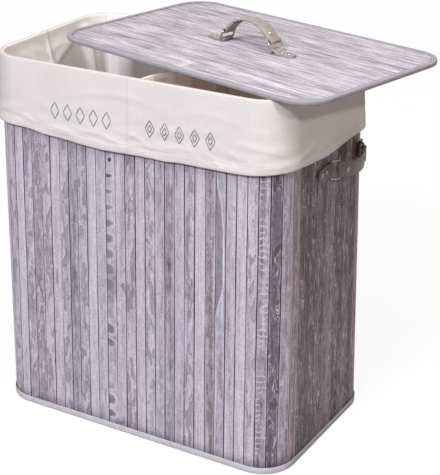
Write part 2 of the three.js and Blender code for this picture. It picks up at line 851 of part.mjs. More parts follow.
function buildLid() {
  const lid = new THREE.Group();
  const inset = tapeThickness + tapeEase;
  const liningBottom = tapeThickness + fitGap;
  const grip = lidFace - liningBottom;
  const ends = ['left', 'right'];
  const handle = buildHandle('lid_handle', ends, lidArch, grip);
  handle.position.set(lidHandleShift, 0, lidFace);
  handle.updateMatrix();
  const holes = tabRivetHoles(ends, lidArch, handle.matrix);
  const layers = [
    ['lid_lining', liningBottom, lidLiningThickness, cottonFinish()],
    ['lid_board', lidBoardBottom, lidBoardThickness, finish(colours.board, 0.8)],
  ];
  for (const [name, bottom, thickness, material] of layers) {
    const layer = plate(lidOutline, inset, bottom, thickness);
    lid.add(named(name, carve([layer], holes), material));
  }
  lid.add(named('lid_slats', lidSlatGeometry(holes), slatFinish()));
  const tape = ringBody(lidOutline, lidTapeProfile(), cornerSteps);
  lid.add(named('lid_edge_tape', tape, tapeFinish()));
  lid.add(handle);
  lid.position.set(lidShiftX, lidShiftY, lidBottom);
  lid.rotation.z = lidTurn;
  return lid;
}

const hamper = new THREE.Group();
hamper.add(buildBody(), buildLiner(), buildLid());

export default hamper;
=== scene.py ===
import bpy, json, math
import numpy as np
from functools import partial
from mathutils import Matrix, Vector


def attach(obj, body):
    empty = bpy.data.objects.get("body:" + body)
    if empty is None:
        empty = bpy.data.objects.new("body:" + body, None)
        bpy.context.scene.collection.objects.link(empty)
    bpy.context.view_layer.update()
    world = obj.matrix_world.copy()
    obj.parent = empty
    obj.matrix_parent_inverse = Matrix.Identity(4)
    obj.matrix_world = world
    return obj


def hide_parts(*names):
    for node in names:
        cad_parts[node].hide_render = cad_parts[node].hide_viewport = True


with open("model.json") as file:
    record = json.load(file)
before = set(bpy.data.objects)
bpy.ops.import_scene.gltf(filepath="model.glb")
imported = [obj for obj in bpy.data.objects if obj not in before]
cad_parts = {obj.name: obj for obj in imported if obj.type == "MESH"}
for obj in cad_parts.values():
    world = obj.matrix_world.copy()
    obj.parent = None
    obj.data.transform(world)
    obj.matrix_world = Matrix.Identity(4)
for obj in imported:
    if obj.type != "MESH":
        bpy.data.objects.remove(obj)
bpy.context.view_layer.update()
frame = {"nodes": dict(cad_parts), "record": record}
print("frame loaded:", len(frame["nodes"]), "nodes")

# Every length below is in millimetres and becomes metres when a mesh is made.


# Length of a rounded rectangle's outline: its straight runs and one whole circle.
def outlineLength(length, depth, radius):
    return 2 * (length + depth - 4 * radius) + 2 * math.pi * radius


wall = {
    "length": 520, "depth": 312, "height": 588, "radius": 54,
    "drawIn": 8,            # how far each side leans in at the rim
    "thickness": 3.0,       # slats and the cloth they are glued to
    "slatEnd": 4.4,         # the slats stop this far from both edges, on the hoops
}
wallPlan = wall["length"], wall["depth"], wall["radius"]
wall["perimeter"] = outlineLength(*wallPlan)
frontMiddle = wall["perimeter"] / 2      # walked distance from the middle of the back


# A rounded rectangle as a function of the distance walked along it, anticlockwise from the middle
# of its back: straight runs and quarter circles laid end to end. Gives the point and the
# direction that faces out, each as an array with x and y last.
def walkOutline(walked, length, depth, radius):
    sx, sy, arc = length / 2 - radius, depth / 2 - radius, radius * math.pi / 2
    starts = np.cumsum([0] + [2 * sx, arc, 2 * sy, arc] * 2)
    walked = (np.asarray(walked, float) + sx) % starts[-1]
    part = np.clip(np.searchsorted(starts, walked, side="right") - 1, 0, 7)
    left = walked - starts[part]
    centre = np.array([(sx, sy), (-sx, sy), (-sx, -sy), (sx, -sy), (sx, sy)])[(part + 1) // 2]
    side = (part // 2 + 1) * math.pi / 2
    curved = part % 2 == 1
    angle = side + np.where(curved, left / radius, 0)
    out = np.stack([np.cos(angle), np.sin(angle)], -1)
    along = np.stack([-np.sin(side), np.cos(side)], -1)
    straight = np.where(curved, 0, left)[..., None]
    return centre + along * straight + out * radius, out


# A point that stands off the wall's outline by out at height z. The plan shrinks in proportion
# to height, as the wall draws in, or by one given share of that all the way up.
def onWall(walked, out, z, share=None):
    walked, out, z = np.broadcast_arrays(walked, out, z)
    place, facing = walkOutline(walked, *wallPlan)
    place = place + facing * out[..., None]
    lean = z / wall["height"] if share is None else np.broadcast_to(share, z.shape)
    shrunk = place * (1 - lean[..., None] * wall["drawIn"] / (np.array(wallPlan[:2]) / 2))
    return np.concatenate([shrunk, z[..., None]], -1)


# A smooth random field of two lengths: a sum of plane sine waves with seeded directions, phases
# and lengths about the given ones, scaled to run from about -1 to 1.
def sway(seed, s, t, waveS, waveT, period=None, count=14):
    dice = np.random.default_rng(seed)
    total = 0
    for _ in range(count):
        stretch = dice.uniform(0.55, 1.7, 2)
        turns = dice.choice([-1, 1]) / (waveS * stretch[0])
        if period:                        # whole waves round a closed outline
            turns = round(turns * period) / period
        total = total + np.sin(2 * math.pi * (s * turns + t / (waveT * stretch[1]) + dice.random()))
    return total / math.sqrt(count * 1.4)


# Folds in cloth, each a ridge with a bell-shaped section that fades towards its ends. A ridge is
# its middle (s, t), its turn in degrees, its half length, half width and height.
def creases(s, t, ridges):
    total = np.zeros(np.broadcast(s, t).shape)
    for midS, midT, turn, reach, width, height in ridges:
        c, q = math.cos(math.radians(turn)), math.sin(math.radians(turn))
        along = (s - midS) * c + (t - midT) * q
        across = (t - midT) * c - (s - midS) * q + along**2 / (9 * reach)
        total += height * np.exp(-(across / width) ** 2 - (along / reach) ** 4)
    return total


# Runs smoothly from 0 at start to 1 at end.
def ease(x, start, end):
    x = np.clip((np.asarray(x, float) - start) / (end - start), 0, 1)
    return x * x * (3 - 2 * x)


# Walked length along a line of points, starting at 0.
def walkedAlong(line):
    return np.concatenate([[0], np.cumsum(np.linalg.norm(np.diff(line, axis=0), axis=1))])


# Carries points from a piece's own frame to the object's.
def place(points, matrix):
    m = np.array(matrix)
    return np.asarray(points, float) @ m[:3, :3].T + m[:3, 3]


# Quads of a grid whose points are numbered row by row, and which may close on itself.
def gridFaces(rows, columns, loopRows, loopColumns):
    r = np.arange(rows if loopRows else rows - 1)[:, None]
    c = np.arange(columns if loopColumns else columns - 1)[None, :]
    r2, c2 = (r + 1) % rows, (c + 1) % columns
    quads = np.stack([r * columns + c, r2 * columns + c, r2 * columns + c2, r * columns + c2], -1)
    return quads.reshape(-1, 4), np.broadcast_arrays(r, c)


# A new object in the scene.
def addObject(name, data):
    thing = bpy.data.objects.new(name, data)
    bpy.context.scene.collection.objects.link(thing)
    return thing


# Points and faces become a mesh object. uvs has a pair for each corner of each face, and values
# holds named numbers, one for each face.
def newPiece(name, points, faces, body, material, uvs=None, values=None):
    mesh = bpy.data.meshes.new(name)
    mesh.from_pydata((np.asarray(points, float).reshape(-1, 3) * 0.001).tolist(), [], faces)
    if uvs is not None:
        layer = mesh.uv_layers.new(name="flat")
        layer.data.foreach_set("uv", (np.asarray(uvs, np.float32) * 0.001).ravel())
    for key, numbers in (values or {}).items():
        mesh.attributes.new(key, "FLOAT", "FACE").data.foreach_set(
            "value", np.asarray(numbers, np.float32).ravel())
    mesh.polygons.foreach_set("use_smooth", np.full(len(mesh.polygons), True))
    mesh.validate()
    mesh.materials.append(material)
    piece = addObject(name, mesh)
    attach(piece, body)
    return piece


# A grid of points, rows by columns, as one piece. Its outer side is where rows cross columns.
# uvGrid gives each point's place on the flat cloth, with one more row or column where the grid
# closes on itself. Solidify gives a single surface its thickness, half to each side.
def gridPiece(name, grid, body, material, uvGrid, loopRows=False, loopColumns=False,
              thickness=0):
    rows, columns = grid.shape[:2]
    quads, (r, c) = gridFaces(rows, columns, loopRows, loopColumns)
    uvs = np.stack([uvGrid[r, c], uvGrid[r + 1, c], uvGrid[r + 1, c + 1], uvGrid[r, c + 1]], 2)
    piece = newPiece(name, grid, quads.tolist(), body, material, uvs)
    if thickness:
        shell = piece.modifiers.new("Solidify", "SOLIDIFY")
        shell.thickness, shell.offset = thickness * 0.001, 0
    return piece


# A ring of equal sections as one piece. Its own flat cloth runs round the outline one way and
# round the section the other.
def ringPiece(name, grid, section, perimeter, body, material):
    walked = np.linspace(0, perimeter, len(grid) + 1)
    uvGrid = np.meshgrid(walked, walkedAlong(np.vstack([section, section[:1]])), indexing="ij")
    return gridPiece(name, grid, body, material, np.stack(uvGrid, -1), True, True)


# A flat sheet as rings drawn in from its edge to its middle, the last one at the share given.
# height is a function of x and y.
def platePiece(name, edge, rings, last, height, thickness, body, material, matrix=Matrix()):
    plan = edge[:, None, :2] * np.linspace(1, last, rings)[None, :, None]
    z = np.broadcast_to(height(plan[..., 0], plan[..., 1]), plan.shape[:2])[..., None]
    return gridPiece(name, place(np.concatenate([plan, z], -1), matrix), body, material,
                     np.concatenate([plan, plan[:1]]), loopRows=True, thickness=thickness)


# A section of pairs out and up, carried round a rounded rectangle.
def carryRound(section, stations, *plan):
    walked = np.arange(stations) / stations * outlineLength(*plan)
    edge, out = walkOutline(walked, *plan)
    flat = edge[:, None, :] + out[:, None, :] * section[None, :, :1]
    return np.concatenate([flat, np.broadcast_to(section[None, :, 1:], flat.shape[:2] + (1,))], -1)


# Closed tubes, each a grid of sections along a path, as one piece. A tube closes on itself or
# ends in a flat cap at either end.
def tubePiece(name, tubes, body, material):
    faces, points, first = [], [], 0
    for grid, closed in tubes:
        rows, columns = grid.shape[:2]
        quads, _ = gridFaces(rows, columns, closed, True)
        faces += (quads + first).tolist()
        if not closed:
            faces.append((first + np.arange(columns)).tolist())
            faces.append((first + rows * columns - 1 - np.arange(columns)).tolist())
        points.append(grid.reshape(-1, 3))
        first += rows * columns
    return newPiece(name, np.concatenate(points), faces, body, material)


# An sRGB hex colour as linear light.
def toLinear(code):
    parts = [int(code[i:i + 2], 16) / 255 for i in (1, 3, 5)]
    return [p / 12.92 if p <= 0.04045 else ((p + 0.055) / 1.055) ** 2.4 for p in parts] + [1]


# Gives inputs their values, by name or number: the output of another node, a hex colour or a
# plain value. Numbers count the inputs that the node shows.
def feed(tree, node, inputs):
    shown = [socket for socket in node.inputs if socket.enabled]
    for key, value in inputs.items():
        socket = node.inputs[key] if isinstance(key, str) else shown[key]
        if isinstance(value, bpy.types.NodeSocket):
            tree.links.new(value, socket)
        else:
            socket.default_value = toLinear(value) if isinstance(value, str) else value


# Adds a node. kind is its type, with its operation after a space. Values go to its inputs in
# order, names with a capital are inputs too, and the others are the node's own settings. stops
# are the places and colours of a colour ramp. A MapRange takes the value, the two ends it runs
# from and the two it runs to.
def addNode(tree, kind, *values, give=0, stops=(), **named):
    kind, _, operation = kind.partition(" ")
    node = tree.nodes.new("ShaderNode" + kind)
    if operation:
        node.operation = operation
    for key, value in named.items():
        if key[0].islower():
            setattr(node, key, value)
    feed(tree, node, dict(enumerate(values)) | {k: v for k, v in named.items() if k[0].isupper()})
    for number, (at, colour) in enumerate(stops):
        if number > 1:
            node.color_ramp.elements.new(at)
        element = node.color_ramp.elements[number]
        element.position = at
        element.color = toLinear(colour) if isinstance(colour, str) else (colour,) * 3 + (1,)
    shown = [socket for socket in node.outputs if socket.enabled]
    return node.outputs if give is None else shown[give]


# A named material: gives it, a way to add nodes to it, and a way to feed its Principled shader,
# whose own sockets take the finish.
def newMaterial(name, **finish):
    material = bpy.data.materials.new(name)
    material.use_nodes = True
    tree = material.node_tree
    shade = partial(feed, tree, tree.nodes["Principled BSDF"])
    shade(finish)
    return material, partial(addNode, tree), shade


slatLook = {
    # wash, bare, stained, and a brown that paints the shade on the strips of the end
    "tones": ((0.0, "#e2dde7"), (0.42, "#cac3ce"), (0.78, "#938a94"), (1.0, "#5f555c")),
    "tints": ((0.0, "#fafaff"), (0.5, "#fcfbff"), (0.85, "#fff9f9"),      # bluish, plain, pinkish
              (1.0, "#efe2de")),                                        # and brownish, painted warm shade on the strips of the end
    # pool is the stain of the pools, and rim their pale rims, which also paints the highlight along
    # the strips' edges; the last colour is painted shade on the sides of the strips in the grooves
    "pool": "#867e8b", "poolShare": 0.68, "rim": "#e4dde9", "rimShare": 0.72, "grooveShade": "#594c57",
    "drop": "#4e4452", "streaks": (0.80, 0.97, 1.08), "grits": (0.85, 0.99, 1.10),
    # mm across and along a strip, octaves and bend of each pattern
    "cells": {"streak": (2.1, 90, 3.0, 0.0), "broad": (7.0, 210, 2.0, 0.0),
              "mottle": (5.0, 19, 3.0, 0.6), "pool": (12, 44, 2.4, 0.8),
              "fade": (9, 24, 1.0, 0.0), "speck": (3.0, 4.6, 1.0, 0.0),
              "grit": (2.8, 3.8, 1.5, 0.0)},
    "dropStep": 25.3, "dropFrom": 461,    # mm from drop to drop, and height of the upper one
    "rungStep": 9.5,                      # mm from rung to rung
    "mottleShare": 0.80, "ripple": 0.55,
}
# the lid's strips get a paler painted shade on their sides in the grooves
lidLook = dict(slatLook, tones=((0.0, "#dcd9db"), (0.5, "#b7b3b7"), (1.0, "#7f7a80")),
               streaks=(0.42, 0.95, 1.30), poolShare=0.30, rimShare=0.30, grooveShade="#8a8290",
               tints=((0.0, "#f8f8ff"), (0.5, "#fdfbfe"), (1.0, "#fffaf8")), mottleShare=0.75,
               cells=dict(slatLook["cells"], streak=(5.5, 66, 3.0, 0.0),
                          broad=(7.0, 120, 3.0, 0.0), mottle=(4.5, 40, 3.0, 0.3),
                          pool=(8, 40, 2.0, 0.5)))


# Split bamboo, stained grey, whitewashed and lacquered. To the eye: straight fine streaks, slow
# changes of tone, a few pools of darker stain with crisp curved edges and thin pale rims, pale
# flecks, a painted highlight along both edges of each strip where the bevel would catch the
# light, and painted shade on the sides of the strips in the grooves. The darkest tone and the
# brownish tint paint the shade on the strips of the end. Three strips have figures of their own.
# The streaks are drawn twice as coarse as they are, to show.
# The colour is the tone with coats over it, each where its share says.
def bambooMaterial(name, look):
    material, node, shade = newMaterial(name, Roughness=0.5, **{"Specular IOR Level": 0.15})
    across, up = node("SeparateXYZ", node("UVMap", uv_map="flat"), give=None)[:2]
    strip = {key: node("Attribute", give=2, attribute_name=key, attribute_type="GEOMETRY")
             for key in ("tone", "stain", "tint", "seed", "half", "drops", "rungs", "tongue")}
    depth = node("Math MULTIPLY", strip["seed"], 173.0)      # each strip has its own depth
    at = node("CombineXYZ", across, up, depth)
    cell = {}
    for layer, (key, (wide, tall, detail, bend)) in enumerate(look["cells"].items()):
        spot = node("Mapping", at, Location=(0, 0, layer * 7.3),
                    Scale=(1000 / wide, 1000 / tall, 1))
        cell[key] = node("TexNoise", spot, Scale=1.0, Detail=detail, Distortion=bend)
    wideMm, upMm = (node("Math MULTIPLY", way, 1000.0) for way in (across, up))
    # tone: the strip's own, then slow changes along it, then mottling
    slow = node("Math MULTIPLY_ADD", cell["broad"], 0.85, strip["tone"])
    tone = node("Math MULTIPLY_ADD", cell["mottle"], look["mottleShare"], slow)
    tone = node("Math SUBTRACT", tone, 0.425 + look["mottleShare"] / 2)
    coats = [(1.0, node("ValToRGB", strip["tint"], stops=look["tints"]), "MULTIPLY")]
    # pools of stain, darkest next to their edge
    level = node("Math MULTIPLY_ADD", strip["stain"], 0.16, cell["pool"])
    pooled = node("Math MULTIPLY", node("MapRange", level, 0.655, 0.675),
                  node("MapRange", level, 0.675, 0.84, 1.0, 0.35))
    coats.append((node("Math MULTIPLY", pooled, look["poolShare"]), look["pool"], "MIX"))
    # pale marks: the rim of a pool and a ripple outside it, flecks, and a painted highlight along
    # the edges
    rim = node("ValToRGB", level, stops=((0.0, 0.0), (0.628, 0.0), (0.643, 1.0), (0.654, 1.0),
                                         (0.668, 0.0)))
    ripple = node("ValToRGB", level, stops=((0.0, 0.0), (0.566, 0.0), (0.578, look["ripple"]),
                                            (0.590, look["ripple"]), (0.602, 0.0)))
    fade = node("MapRange", cell["fade"], 0.44, 0.58, 0.0, look["rimShare"])
    rim = node("Math MULTIPLY", node("Math ADD", rim, ripple), fade)
    flecks = node("MapRange", cell["speck"], 0.70, 0.77, 0.0, 0.75)
    edge = node("Math SUBTRACT", node("Math ABSOLUTE", wideMm), strip["half"])
    # painted highlight: a pale line along both edges of each strip, where the bevel would catch the
    # light
    edgeHighlight = node("ValToRGB", node("MapRange", edge, -4.0, 0.0),
                stops=((0.0, 0.0), (0.5, 0.0), (0.68, 0.55), (0.86, 0.55), (0.97, 0.0)))
    edgeHighlight = node("Math MULTIPLY", edgeHighlight, node("MapRange", cell["mottle"], 0.40, 0.62))
    pale = node("Math MAXIMUM", node("Math MAXIMUM", rim, flecks), edgeHighlight)
    coats.append((pale, look["rim"], "MIX"))
    # drops: a blot in each step of height, round and dark in the upper two, then reaching in
    # from the strip's left edge and taller further down, with a pale ring round it
    step = look["dropStep"]
    low = node("MapRange", upMm, 446.0, 420.0)
    steps = node("Math MULTIPLY_ADD", cell["broad"], 6.0, upMm)
    steps = node("Math MULTIPLY_ADD", steps, 1 / step, 0.5 - look["dropFrom"] / step)
    own = node("TexWhiteNoise", node("Math FLOOR", steps), noise_dimensions="1D")
    tall = node("Math MULTIPLY", node("MapRange", upMm, 420.0, 300.0, 3.6, 7.5),
                node("MapRange", own, 0.0, 1.0, 0.8, 1.2))
    high = node("Math MULTIPLY_ADD", node("Math FRACT", steps), step, -step / 2)
    side = node("Math ADD", node("Math MULTIPLY_ADD", cell["mottle"], 5.0, wideMm),
                node("MapRange", low, 0.0, 1.0, -1.5, 4.5))
    side = node("Math DIVIDE", side, node("MapRange", low, 0.0, 1.0, 3.4, 10.0))
    away = node("VectorMath LENGTH", node("CombineXYZ", side, node("Math DIVIDE", high, tall)))
    height = node("MapRange", upMm, 0.0, 480.0)
    seen = node("ValToRGB", height, stops=(
        (0.0, 1.0), (0.11, 1.0), (0.19, 0.1), (0.28, 0.1), (0.33, 0.9), (0.38, 0.9),
        (0.43, 0.2), (0.55, 0.3), (0.62, 0.75), (0.85, 0.75), (0.89, 1.0)))
    seen = node("Math MULTIPLY", seen, strip["drops"])
    blot = node("MapRange", away, 1.15, 0.80, 0.0, node("MapRange", low, 0.0, 1.0, 0.95, 0.68))
    ring = node("Math ABSOLUTE", node("Math SUBTRACT", away, 1.45))
    ring = node("MapRange", ring, 0.34, 0.12, 0.0, 0.6)
    smear = node("ValToRGB", height, stops=((0.30, 0.0), (0.34, 0.35), (0.37, 0.0), (0.47, 0.0),
                                            (0.51, 0.6), (0.58, 0.6), (0.61, 0.0)))
    # rungs: pale bars across a dark strip, in broken runs
    rung = node("Math MULTIPLY", upMm, 2 * math.pi / look["rungStep"])
    rung = node("Math SINE", node("Math MULTIPLY_ADD", cell["mottle"], 7.0, rung))
    rung = node("Math MULTIPLY", node("MapRange", rung, 0.5, 0.9, 0.0, 0.6),
                node("MapRange", cell["pool"], 0.46, 0.54))
    # tongue: stain left of a curve that swings to the strip's right edge and back
    curve = node("ValToRGB", node("MapRange", upMm, 250.0, 470.0), stops=(
        (0.0, 0.0), (0.1, 0.35), (0.22, 0.72), (0.62, 0.70), (0.80, 0.50), (0.92, 0.12),
        (1.0, 0.0)))
    fromLeft = node("Math ADD", wideMm, strip["half"])
    reach = node("Math MULTIPLY_ADD", curve, -17.0, fromLeft)
    tongue = node("MapRange", reach, 0.4, -0.4, 0.0, 0.7)
    line = node("Math ABSOLUTE", node("Math SUBTRACT", reach, 1.2))
    line = node("MapRange", line, 1.5, 0.6, 0.0, 0.7)
    for mark, where, paint in ((smear, strip["drops"], "pool"), (ring, seen, "rim"),
                               (blot, seen, "drop"), (rung, strip["rungs"], "rim"),
                               (tongue, strip["tongue"], "pool"), (line, strip["tongue"], "rim")):
        coats.append((node("Math MULTIPLY", mark, where), look[paint], "MIX"))
    # streaks and grit over all of it, and painted shade on the sides of the strips in the grooves
    for key, places in (("streak", (0.28, 0.50, 0.70)), ("grit", (0.30, 0.50, 0.70))):
        shades = node("ValToRGB", cell[key], stops=zip(places, look[key + "s"]))
        coats.append((1.0, shades, "MULTIPLY"))
    coats.append((node("MapRange", edge, -0.30, -0.02), look["grooveShade"], "MIX"))
    colour = node("ValToRGB", tone, stops=look["tones"])
    for share, coat, blend in coats:
        colour = node("Mix", share, colour, coat, data_type="RGBA", blend_type=blend)
    relief = node("Bump", Height=cell["streak"], Distance=0.0004, Strength=0.5)
    shade({"Base Color": colour, "Normal": relief})
    return material


# stitch is the colour of seams and stitching, and also of the painted shade along the rim
clothLook = {"colour": "#ebe5e3", "slub": "#ddd7d4", "stitch": "#cbc4c0"}


# Unbleached cotton and linen in plain weave, washed but not pressed: matt off-white, with
# slightly darker slubs both ways and a fine raised weave of 0.9 mm threads, twice as coarse as
# they are, so that they show. lines are seams, rows of stitching and bands of painted shade on
# the flat cloth: which way of the cloth they cross, where, how wide, the length of a stitch, or 0
# for a seam or a band, and how strongly they show.
def cottonMaterial(name, colour, slub, strength=0.5, lines=()):
    material, node, shade = newMaterial(name, Roughness=0.92, **{
        "Specular IOR Level": 0.2, "Sheen Weight": 0.12, "Sheen Roughness": 0.6})
    at = node("UVMap", uv_map="flat")
    threads, slubs = [], []
    for turn, wave, drawn in (("X", (1100, 1, 1), (700, 45, 1)), ("Y", (1, 1100, 1), (45, 700, 1))):
        threads.append(node("TexWave", node("Mapping", at, Scale=wave), Scale=0.31, Distortion=0.6,
                            Detail=1.0, give=1, bands_direction=turn, **{"Detail Scale": 2.0}))
        slubs.append(node("TexNoise", node("Mapping", at, Scale=drawn), Scale=1.0, Detail=2.0))
    thick = node("MapRange", node("Math MAXIMUM", *slubs), 0.56, 0.84)
    tint = node("Mix", thick, colour, slub, data_type="RGBA")
    cloudy = node("ValToRGB", node("TexNoise", at, Scale=16.0, Detail=3.0),
                  stops=((0.3, 0.965), (0.7, 1.0)))
    tint = node("Mix", 1.0, tint, cloudy, data_type="RGBA", blend_type="MULTIPLY")
    height = node("Math MULTIPLY_ADD", thick, 0.5, node("Math MULTIPLY", *threads))
    ways = node("SeparateXYZ", at, give=None)
    for way, spot, width, stitch, shown in lines:
        off = node("Math ABSOLUTE", node("Math SUBTRACT", ways[way], spot / 1000))
        mark = node("MapRange", off, width / 1000, width / 2000, 0.0, shown)
        if stitch:
            beat = node("Math SINE", node("Math MULTIPLY", ways[1 - way], 2000 * math.pi / stitch))
            mark = node("Math MULTIPLY", mark, node("MapRange", beat, -0.6, 0.2))
        tint = node("Mix", mark, tint, clothLook["stitch"], data_type="RGBA")
        height = node("Math MULTIPLY_ADD", mark, -1.6, height)
    relief = node("Bump", Height=height, Distance=0.0003, Strength=strength)
    shade({"Base Color": tint, "Normal": relief})
    return material


# Woven polyester binding tape: matt pale grey with a fine twill rib 1.2 mm apart.
def tapeMaterial(name, colour, rib):
    material, node, shade = newMaterial(name, Roughness=0.85, **{"Specular IOR Level": 0.25})
    at = node("Mapping", node("UVMap", uv_map="flat"), Scale=(1000, 1000, 1))
    wave = node("TexWave", at, Scale=0.26, Distortion=0.8, Detail=1.0, give=1,
                bands_direction="DIAGONAL")
    uneven = node("ValToRGB", node("TexNoise", at, Scale=0.05, Detail=3.0),
                  stops=((0.3, 0.86), (0.7, 1.0)))
    tint = node("Mix", wave, rib, colour, data_type="RGBA")
    tint = node("Mix", 1.0, tint, uneven, data_type="RGBA", blend_type="MULTIPLY")
    relief = node("Bump", Height=wave, Distance=0.0003, Strength=0.6)
    shade({"Base Color": tint, "Normal": relief})
    return material


# Coated split leather, taupe grey: a pebbled grain of 1.1 mm, a low sheen, and a slow change of
# tone where it is bent and handled.
def leatherMaterial(name, colour, dark):
    material, node, shade = newMaterial(name, Roughness=0.42, **{"Specular IOR Level": 0.5})
    at = node("TexCoord", give=3)
    grain = node("TexVoronoi", at, Scale=900.0, feature="DISTANCE_TO_EDGE")
    pits = node("MapRange", grain, 0.0, 0.25)
    tint = node("ValToRGB", node("TexNoise", at, Scale=90.0, Detail=3.0),
                stops=((0.35, dark), (0.68, colour)))
    shaded = node("ValToRGB", pits, stops=((0.0, 0.82), (0.6, 1.0)))
    tint = node("Mix", 1.0, tint, shaded, data_type="RGBA", blend_type="MULTIPLY")
    relief = node("Bump", Height=pits, Distance=0.0002, Strength=0.5)
    shade({"Base Color": tint, "Normal": relief})
    return material


# Steel wire and pressings, plated or bare: a clear reflection, blurred a little more where
# handling has left marks of 2 to 3 mm.
def metalMaterial(name, colour, roughness):
    material, node, shade = newMaterial(name, Metallic=1.0)
    marks = node("TexNoise", node("TexCoord", give=3), Scale=400.0, Detail=3.0)
    gloss = node("MapRange", marks, 0.3, 0.7, roughness * 0.8, roughness * 1.4)
    shade({"Base Color": colour, "Roughness": gloss})
    return material


# Fibreboard, pressed: a plain matt brown with fine paler fibres of 1 to 2 mm.
def boardMaterial(name, colour, fleck):
    material, node, shade = newMaterial(name, Roughness=0.85)
    fibres = node("TexNoise", node("TexCoord", give=3), Scale=700.0, Detail=4.0)
    tint = node("ValToRGB", fibres, stops=((0.4, colour), (0.7, fleck)))
    relief = node("Bump", Height=fibres, Distance=0.0002, Strength=0.4)
    shade({"Base Color": tint, "Normal": relief})
    return material


bamboo = bambooMaterial("washed_bamboo_strip", slatLook)
lidBamboo = bambooMaterial("washed_bamboo_lid_strip", lidLook)
cotton = cottonMaterial("cotton_linen_plain_weave", clothLook["colour"], clothLook["slub"])
# the backing's dark colour is painted shade in the grooves between the strips, on the wall and on
# the lid
shadedBackingCloth = cottonMaterial("glued_backing_cloth_painted_groove_shade", "#4a3d48", "#3d323c", 0.3)
greyTape = tapeMaterial("woven_binding_tape", "#cecbd2", "#b2afb6")
# a darker copy of the tape for the lid's binding: painted shade on the lid's edge
shadedLidTape = tapeMaterial("woven_binding_tape_painted_shade", "#b5b2b9", "#97949b")
footTape = tapeMaterial("paler_woven_binding_tape", "#dfdce3", "#c4c1c8")
leather = leatherMaterial("coated_split_leather", "#aca19c", "#958984")
# a darker copy of the same leather for the side handles: painted shade
shadedLeather = leatherMaterial("coated_split_leather_painted_shade", "#625552", "#514542")
nickel = metalMaterial("nickel_plated_steel", "#aaa6a2", 0.16)
# a darker, slightly rougher copy of the nickel for the side handles' fittings: painted shade
shadedNickel = metalMaterial("nickel_plated_steel_painted_shade", "#76716e", 0.22)
steel = metalMaterial("bare_spring_steel", "#9b9da0", 0.35)
board = boardMaterial("pressed_fibreboard", "#a0866a", "#b89e80")
thread = cottonMaterial("grey_embroidery_thread", "#8d8893", "#7d7883", 0.6)
print("materials made")


slats = {
    "count": 88, "offset": 7.6,       # the first groove, walked from the middle of the back
    "groove": (0.35, 1.45),           # dark gap between two slats, narrowest and widest
    "thickness": 2.2, "bevel": 0.5, "crown": 0.22,
    "jitter": 0.9,                    # how unequally wide the unseen ones are
    "skew": 0.010, "plumbAt": 262,    # the mat hangs a little out of plumb
    "rows": 26,
    # how far the grooves of the front lie from even steps, from the left corner to the right
    "seenFrom": 26,
    "seen": (-2.2, 1.4, 2.6, 3.2, 8.4, 9.5, 8.2, 7.3, 7.5, 7.1, 6.7, 5.9, 4.5, 4.2, 3.8, 4.0, 3.6,
             3.3, 3.9, 3.5, 3.2, 3.0, 2.3, 2.0, 1.9, 2.7, 2.1, 1.6, 1.1, 1.2, 0.4, 0.2, 0.4, 3.6,
             7.2, 8.9, 9.5, 7.6, 5.9, 5.9),
    # slats with a look of their own, by number
    "pinkish": (33, 43, 55, 50, 57), "drops": 41, "rungs": 56, "tongue": 52,
    # and with a tone and stain of their own: calm, dark and patchy
    "own": (((31, 39, 44, 50, 54), 0.28, -2.0), ((37, 47, 51, 56, 58, 59), 0.66, 0.0),
            ((34, 36, 38, 45, 49), 0.42, 0.9)),
    "tone": (0.33, 0.53), "stain": (-0.4, 1.2),      # from least to most, of all the others
    "endShadeTone": 0.66, "endFrom": (208, 252), "endWarmShade": (250, 290), "endTo": 530,    # the strips of the end: painted shade, darker and browner
}


# Closed strips side by side. grid is strips by rows by section points. across and lengthwise are
# each point's distance from its strip's middle line and along it, and looks has named numbers
# with one value for each strip.
def stripPiece(name, grid, across, lengthwise, looks, body, material, turn=False):
    count, rows, ring = grid.shape[:3]
    first = np.arange(count)[:, None] * rows * ring
    sides = np.roll(gridFaces(rows, ring, False, True)[0][:, ::-1], 1, axis=1)
    faces = [(first[..., None] + sides).reshape(-1, 4), first + np.arange(ring)[::-1],
             first + (rows - 1) * ring + np.arange(ring)]
    if turn:
        faces = [f[:, ::-1] for f in faces]
    flat = np.stack(np.broadcast_arrays(across[:, None, :], lengthwise), -1).reshape(-1, 2)
    uvs = np.concatenate([flat[f].reshape(-1, 2) for f in faces])
    values = {key: np.concatenate([np.repeat(v, (rows - 1) * ring), v, v])
              for key, v in looks.items()}
    return newPiece(name, grid, sum((f.tolist() for f in faces), []), body, material, uvs,
                    values)


# A strip's section as share of its width, step in mm and height from its outer face: a low crown
# between two rounded edges, and a flat back.
def slatSection(thickness, bevel, crown):
    left = np.array([(0, 0, -thickness), (0, 0, -bevel * 1.3), (0, bevel * 0.3, -bevel * 0.4),
                     (0, bevel, -bevel * 0.05), (0, bevel * 2.2, crown * 0.35),
                     (0.3, 0, crown * 0.9)])
    return np.vstack([left, (0.5, 0, crown), left[::-1] * (-1, -1, 1) + (1, 0, 0)])


# Seeded numbers for each strip: its tone, how much of it is stained, its tint, where it was cut
# from and half its width.
def slatLooks(dice, half, toneRange, stainRange):
    count = len(half)
    looks = {"tone": dice.uniform(*toneRange, count), "stain": dice.uniform(*stainRange, count),
             "tint": 0.5 + 0.14 * dice.uniform(-1, 1, count), "seed": dice.uniform(0, 1, count),
             "half": half}
    looks["tint"][dice.uniform(0, 1, count) > 0.88] = 0.8
    return looks | {key: np.zeros(count) for key in ("drops", "rungs", "tongue")}


